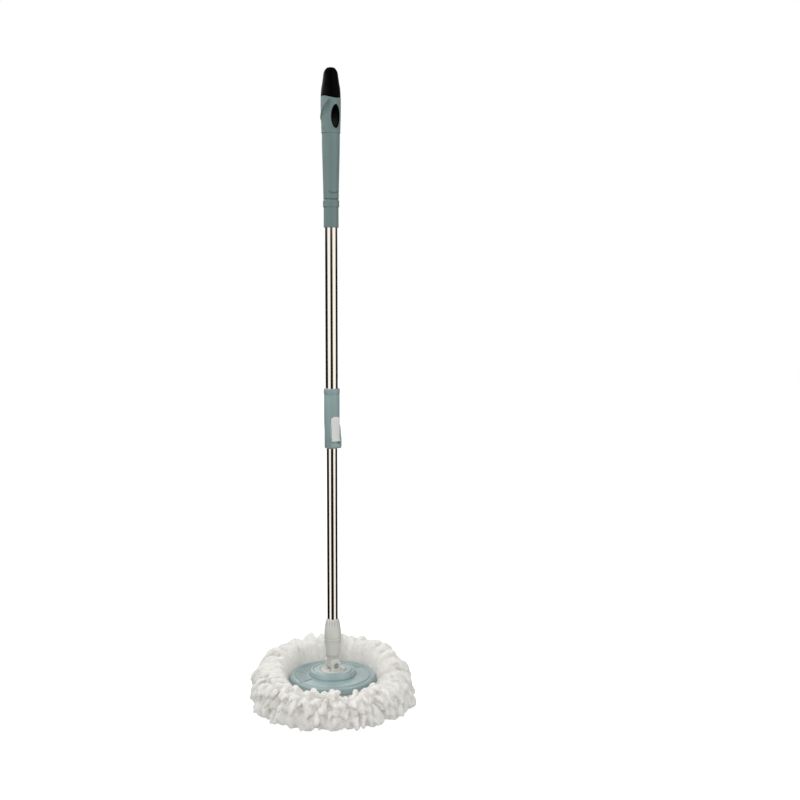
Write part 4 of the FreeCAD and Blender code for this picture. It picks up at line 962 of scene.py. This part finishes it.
def felt_tree(finish):
    """Geometry Nodes: lets loops that touch grow into one soft mass, then roughens it with fine pile."""
    tree = bpy.data.node_groups.new("felt", "GeometryNodeTree")
    face = tree.interface
    face.new_socket("Geometry", in_out="OUTPUT", socket_type="NodeSocketGeometry")
    for name, kind, default in (("Geometry", "NodeSocketGeometry", None), ("Cell", "NodeSocketFloat", 0.002),
                                ("Softening", "NodeSocketInt", 2), ("Pile", "NodeSocketFloat", 0.001)):
        socket = face.new_socket(name, in_out="INPUT", socket_type=kind)
        if default is not None:
            socket.default_value = default
    given = add(tree, "NodeGroupInput").outputs
    solid = add(tree, "GeometryNodeMeshToVolume", {"Mesh": given["Geometry"], "Voxel Size": given["Cell"],
                                                   "Interior Band Width": 0.006}, resolution_mode="VOXEL_SIZE")
    skin = add(tree, "GeometryNodeVolumeToMesh", {"Volume": solid.outputs[0], "Threshold": 0.1}).outputs[0]
    here = add(tree, "GeometryNodeInputPosition").outputs[0]
    calm = add(tree, "GeometryNodeBlurAttribute", {"Value": here, "Iterations": given["Softening"]},
               data_type="FLOAT_VECTOR").outputs[0]
    skin = add(tree, "GeometryNodeSetPosition", {"Geometry": skin, "Position": calm}).outputs[0]
    tufts = add(tree, "ShaderNodeTexNoise", {"Vector": here, "Scale": 330.0, "Detail": 3.0}).outputs["Fac"]
    push = maths(tree, "SUBTRACT", tufts, 0.5)
    push = maths(tree, "MULTIPLY", push, maths(tree, "MULTIPLY", given["Pile"], 4.0))
    normal = add(tree, "GeometryNodeInputNormal").outputs[0]
    push = scaled(tree, normal, push)
    skin = add(tree, "GeometryNodeSetPosition", {"Geometry": skin, "Offset": push}).outputs[0]
    skin = add(tree, "GeometryNodeRealizeInstances", {"Geometry": skin}).outputs[0]
    skin = add(tree, "GeometryNodeSetMaterial", {"Geometry": skin, "Material": finish}).outputs[0]
    add(tree, "NodeGroupOutput", {"Geometry": skin})
    return tree


def grown(tree, name, values, start=None):
    """Runs a node tree with its inputs set and gives back the plain mesh."""
    seedling = bpy.data.objects.new(name + "_source", start or bpy.data.meshes.new(name + "_source"))
    bpy.context.scene.collection.objects.link(seedling)
    modifier = seedling.modifiers.new("grow", "NODES")
    modifier.node_group = tree
    sockets = {item.name: item.identifier for item in tree.interface.items_tree if item.in_out == "INPUT"}
    for key, value in values.items():
        modifier[sockets[key]] = value
    bpy.context.view_layer.update()
    evaluated = seedling.evaluated_get(bpy.context.evaluated_depsgraph_get())
    mesh = bpy.data.meshes.new_from_object(evaluated)
    bpy.data.objects.remove(seedling)
    mesh.name = name
    return mesh


class MOP_OT_fringe(bpy.types.Operator):
    """Make the microfibre loops"""
    bl_idname = "mop.fringe"
    bl_label = "Fringe"

    def execute(self, context):
        settings = context.scene.mop_fringe
        finish = microfibre("microfibre", context.scene.mop_finish.fibre)
        tree = strand_tree(finish)
        base = {"Count": settings.strands, "Points": 36, "Sides": 12, "Thickness": settings.thickness,
                "Fluff": settings.fluff, "Wander": 0.0060, "Uneven": 0.13}
        # layers from the top down: (radius, height) in mm at root, rise, fall and tip,
        # then the layer's share of the back lift
        paths = {
            "upper": (
                ((84, 36), (91, 56), (101, 68), (114, 58), 1.0),
                ((84, 36), (96, 62), (117, 76), (133, 60), 1.0),
                ((84, 36), (99, 62), (134, 77), (141, 44), 0.95),
                ((84, 36), (104, 57), (142, 66), (142, 28), 0.8)),
            "lower": (
                ((82, 38), (106, 50), (145, 52), (141, 15), 0.5),
                ((80, 38), (108, 40), (147, 36), (144, 6.0), 0.2),
                ((79, 36), (100, 22), (132, 16), (142, 4.5), 0.0),
                ((78, 34), (92, 14), (112, 9), (131, 4.5), 0.0)),
        }
        felt = felt_tree(finish)
        number = 0
        for part, layers in paths.items():
            loops = []
            for root, rise, fall, tip, share in layers:
                corners = {name: (radius * MM, 0, height * MM) for name, (radius, height) in (
                    ("Root", root), ("Rise", rise), ("Fall", fall), ("Tip", tip))}
                loops.append(grown(tree, "loops", {**base, **corners, "Back Lift": settings.back_lift * share,
                                                   "Seed": settings.seed + 10 * number}))
                number += 1
            mesh = grown(felt, "felt", {"Cell": 0.0019, "Softening": 1 if part == "upper" else 5,
                                        "Pile": settings.fluff},
                         joined("loops", *loops))
            piece("loops_" + part, mesh, finish, "plate", ("strands",), crease=0)

        core = rounded(mm([(88, 36), (100, 50), (126, 56), (135, 40), (133, 14), (118, 8), (96, 12),
                           (84, 28), (88, 36)]), 6 * MM, 6)

        def plump(angle, radius, height):
            share = 0.80 * np.cos(angle - math.radians(60)) + 0.20
            height += 0.8 * settings.back_lift * share * smooth_step(height, 34 * MM, 56 * MM)
            radius += 1.2 * MM * np.sin(angle * 83 + 40 * height / 0.05)
            return radius, height, np.zeros_like(radius)

        mesh = lathe("core", resampled(core, 3 * MM), 400, plump)
        piece("loops_core", mesh, finish, "plate", ("strands",), crease=0)
        return {"FINISHED"}


# ---------------------------------------------------------------- plain finishes for the frame's own pieces
class MOP_OT_hardware(bpy.types.Operator):
    """Give the frame's own pieces their finishes"""
    bl_idname = "mop.hardware"
    bl_label = "Frame finishes"

    def execute(self, context):
        colours = context.scene.mop_finish
        finishes = {
            "grip_plastic": plastic("grip_plastic", colours.grip),
            "sleeve_plastic": plastic("sleeve_plastic", colours.sleeve),
            "plate_plastic": plastic("plate_plastic", colours.plate),
            "black_plastic": plastic("black_plastic", colours.black, 0.2, 0.3),
            "black_rubber": plastic("black_rubber", colours.black, 0.5, 0.7),
            "tube_steel": steel("tube_steel", colours.steel, 0.045, 0.075),
            "fastener_steel": steel("fastener_steel", (0.42, 0.41, 0.40), 0.25, 0.4, (300, 300, 300)),
            "lever_plastic": plastic("lever_plastic", colours.lever),
            "white_plastic": plastic("white_plastic", colours.white),
            "inner_nylon": plastic("inner_nylon", (0.62, 0.60, 0.53)),
            "microfibre": microfibre("microfibre_plain", colours.fibre),
        }
        slots = {row["node"]: row["material_slot"] for row in frame["record"]["subparts"]}
        for name, node in frame["nodes"].items():
            finish = finishes[slots[name]]
            if not node.material_slots:
                node.data.materials.append(finish)
            for place in node.material_slots:
                place.material = finish
        return {"FINISHED"}


# ---------------------------------------------------------------- stage
def world_light(scene):
    """Even pale light, with tall bright strips for the steel to mirror."""
    world = bpy.data.worlds.new("studio")
    scene.world = world
    world.use_nodes = True
    tree = world.node_tree
    tree.nodes.clear()
    way = add(tree, "ShaderNodeTexCoord").outputs["Generated"]
    split = add(tree, "ShaderNodeSeparateXYZ", {0: way}).outputs
    azimuth = maths(tree, "ARCTAN2", split[1], split[0])
    camera_side = math.radians(-120)
    strips = None
    narrower = ramp(tree, split[2], -0.20, -0.06, 1.35, 1.0, "LINEAR")
    for centre, half, power in ((-47, 27, 1.0), (54, 30, 1.0), (180, 16, 0.9)):
        middle = camera_side + math.radians(centre)
        gap = maths(tree, "SUBTRACT", azimuth, math.atan2(math.sin(middle), math.cos(middle)))
        gap = maths(tree, "ABSOLUTE", maths(tree, "WRAP", gap, math.pi, -math.pi))
        gap = maths(tree, "MULTIPLY", gap, narrower)
        soft = ramp(tree, gap, math.radians(half + 4), math.radians(half - 4), 0.0, power)
        strips = soft if strips is None else maths(tree, "MAXIMUM", strips, soft)
    overhead = ramp(tree, split[2], 0.02, 0.16, 0.0, 1.0)
    higher = ramp(tree, split[2], 0.30, 0.55, 1.0, 0.2)
    aside = maths(tree, "COSINE", maths(tree, "SUBTRACT", azimuth, math.radians(140)))
    aside = maths(tree, "MAXIMUM", aside, 0.0)
    aloft = ramp(tree, split[2], 0.17, 0.25, 0.0, 3.6)
    aside = maths(tree, "MULTIPLY_ADD", aside, aloft, 0.75)
    overhead = maths(tree, "MULTIPLY", maths(tree, "MULTIPLY", overhead, higher), aside)
    strips = maths(tree, "MAXIMUM", maths(tree, "MULTIPLY_ADD", strips, 1.25, 0.01), overhead)
    mirrored = add(tree, "ShaderNodeEmission", {"Color": (1.0, 0.97, 0.93, 1), "Strength": strips})
    even = add(tree, "ShaderNodeEmission", {"Color": (1.0, 1.0, 1.0, 1), "Strength": 0.42})
    seen = add(tree, "ShaderNodeEmission", {"Color": (1.0, 1.0, 1.0, 1), "Strength": 1.0})
    rays = add(tree, "ShaderNodeLightPath").outputs
    lit = add(tree, "ShaderNodeMixShader",
              {0: rays["Is Glossy Ray"], 1: even.outputs[0], 2: mirrored.outputs[0]})
    out = add(tree, "ShaderNodeMixShader", {0: rays["Is Camera Ray"], 1: lit.outputs[0], 2: seen.outputs[0]})
    add(tree, "ShaderNodeOutputWorld", {"Surface": out.outputs[0]})


def soft_box(name, size, power, place, target):
    lamp = bpy.data.lights.new(name, "AREA")
    lamp.shape = "RECTANGLE"
    lamp.size, lamp.size_y = size
    lamp.energy = power
    made = bpy.data.objects.new(name, lamp)
    bpy.context.scene.collection.objects.link(made)
    made.location = place
    made.rotation_euler = (Vector(target) - Vector(place)).to_track_quat("-Z", "Y").to_euler()
    made.visible_glossy = False
    return made


class MOP_OT_stage(bpy.types.Operator):
    """Make the floor, the lights and the camera"""
    bl_idname = "mop.stage"
    bl_label = "Stage"

    def execute(self, context):
        scene = context.scene
        settings = scene.mop_stage
        finish, tree, shader = material("pale_floor")
        tree.links.new(tinted(tree, object_noise(tree, 6.0), (0.62, 0.62, 0.62), 0.98, 1.02),
                       shader.inputs["Base Color"])
        shader.inputs["Roughness"].default_value = 0.9
        shader.inputs["Emission Color"].default_value = (1, 1, 1, 1)
        shader.inputs["Emission Strength"].default_value = 0.78
        reach = 6.0
        floor_mesh = mesh_from("floor", [(-reach, -reach, 0), (reach, -reach, 0), (reach, reach, 0),
                                         (-reach, reach, 0)], [(0, 1, 2, 3)])
        floor_mesh.materials.append(finish)
        floor = bpy.data.objects.new("floor", floor_mesh)
        scene.collection.objects.link(floor)
        floor.visible_glossy = False
        floor.visible_diffuse = False
        world_light(scene)
        scene.view_settings.view_transform = "Standard"
        soft_box("key_light", (0.8, 1.2), 46.0, (-1.7, -2.6, 2.1), (0, 0, 0.5))
        soft_box("fill_light", (0.8, 1.2), 14.0, (0.9, -2.6, 1.5), (0, 0, 0.5))
        soft_box("top_light", (1.2, 1.2), 26.0, (-0.8, 1.0, 2.4), (0, 0, 0.2))

        lens = bpy.data.cameras.new("camera")
        lens.lens = settings.focal
        lens.sensor_width = 36.0
        lens.shift_x = settings.shift
        camera = bpy.data.objects.new("camera", lens)
        scene.collection.objects.link(camera)
        away = Vector((math.sin(settings.azimuth), -math.cos(settings.azimuth), 0))
        camera.location = away * settings.distance + Vector((0, 0, settings.height))
        heading = Matrix.Rotation(-settings.yaw, 3, "Z") @ -away
        look = heading * math.cos(settings.pitch) - Vector((0, 0, math.sin(settings.pitch)))
        camera.rotation_euler = look.to_track_quat("-Z", "Y").to_euler()
        scene.camera = camera
        return {"FINISHED"}


# ---------------------------------------------------------------- panel and registration
OPERATORS = (MOP_OT_hardware, MOP_OT_grip, MOP_OT_cap, MOP_OT_tubes, MOP_OT_joints, MOP_OT_plate,
             MOP_OT_fasteners, MOP_OT_fringe, MOP_OT_stage)
SETTINGS = {"mop_fringe": FringeSettings, "mop_finish": FinishSettings, "mop_stage": StageSettings}


class MOP_PT_build(bpy.types.Panel):
    """Buttons that build the mop piece by piece"""
    bl_idname = "MOP_PT_build"
    bl_label = "Spin mop"
    bl_space_type = "VIEW_3D"
    bl_region_type = "UI"
    bl_category = "Spin mop"

    def draw(self, context):
        for operator in OPERATORS:
            self.layout.operator(operator.bl_idname)
        for name, group in SETTINGS.items():
            box = self.layout.box()
            for field in group.__annotations__:
                box.prop(getattr(context.scene, name), field)


def register():
    for group in SETTINGS.values():
        bpy.utils.register_class(group)
    for operator in OPERATORS:
        bpy.utils.register_class(operator)
    bpy.utils.register_class(MOP_PT_build)
    for name, group in SETTINGS.items():
        setattr(bpy.types.Scene, name, PointerProperty(type=group))


def unregister():
    for name in SETTINGS:
        delattr(bpy.types.Scene, name)
    for made in (MOP_PT_build, *OPERATORS, *SETTINGS.values()):
        bpy.utils.unregister_class(made)


def main():
    register()
    for operator in OPERATORS:
        group, name = operator.bl_idname.split(".")
        getattr(getattr(bpy.ops, group), name)()


if __name__ == "__main__":
    main()
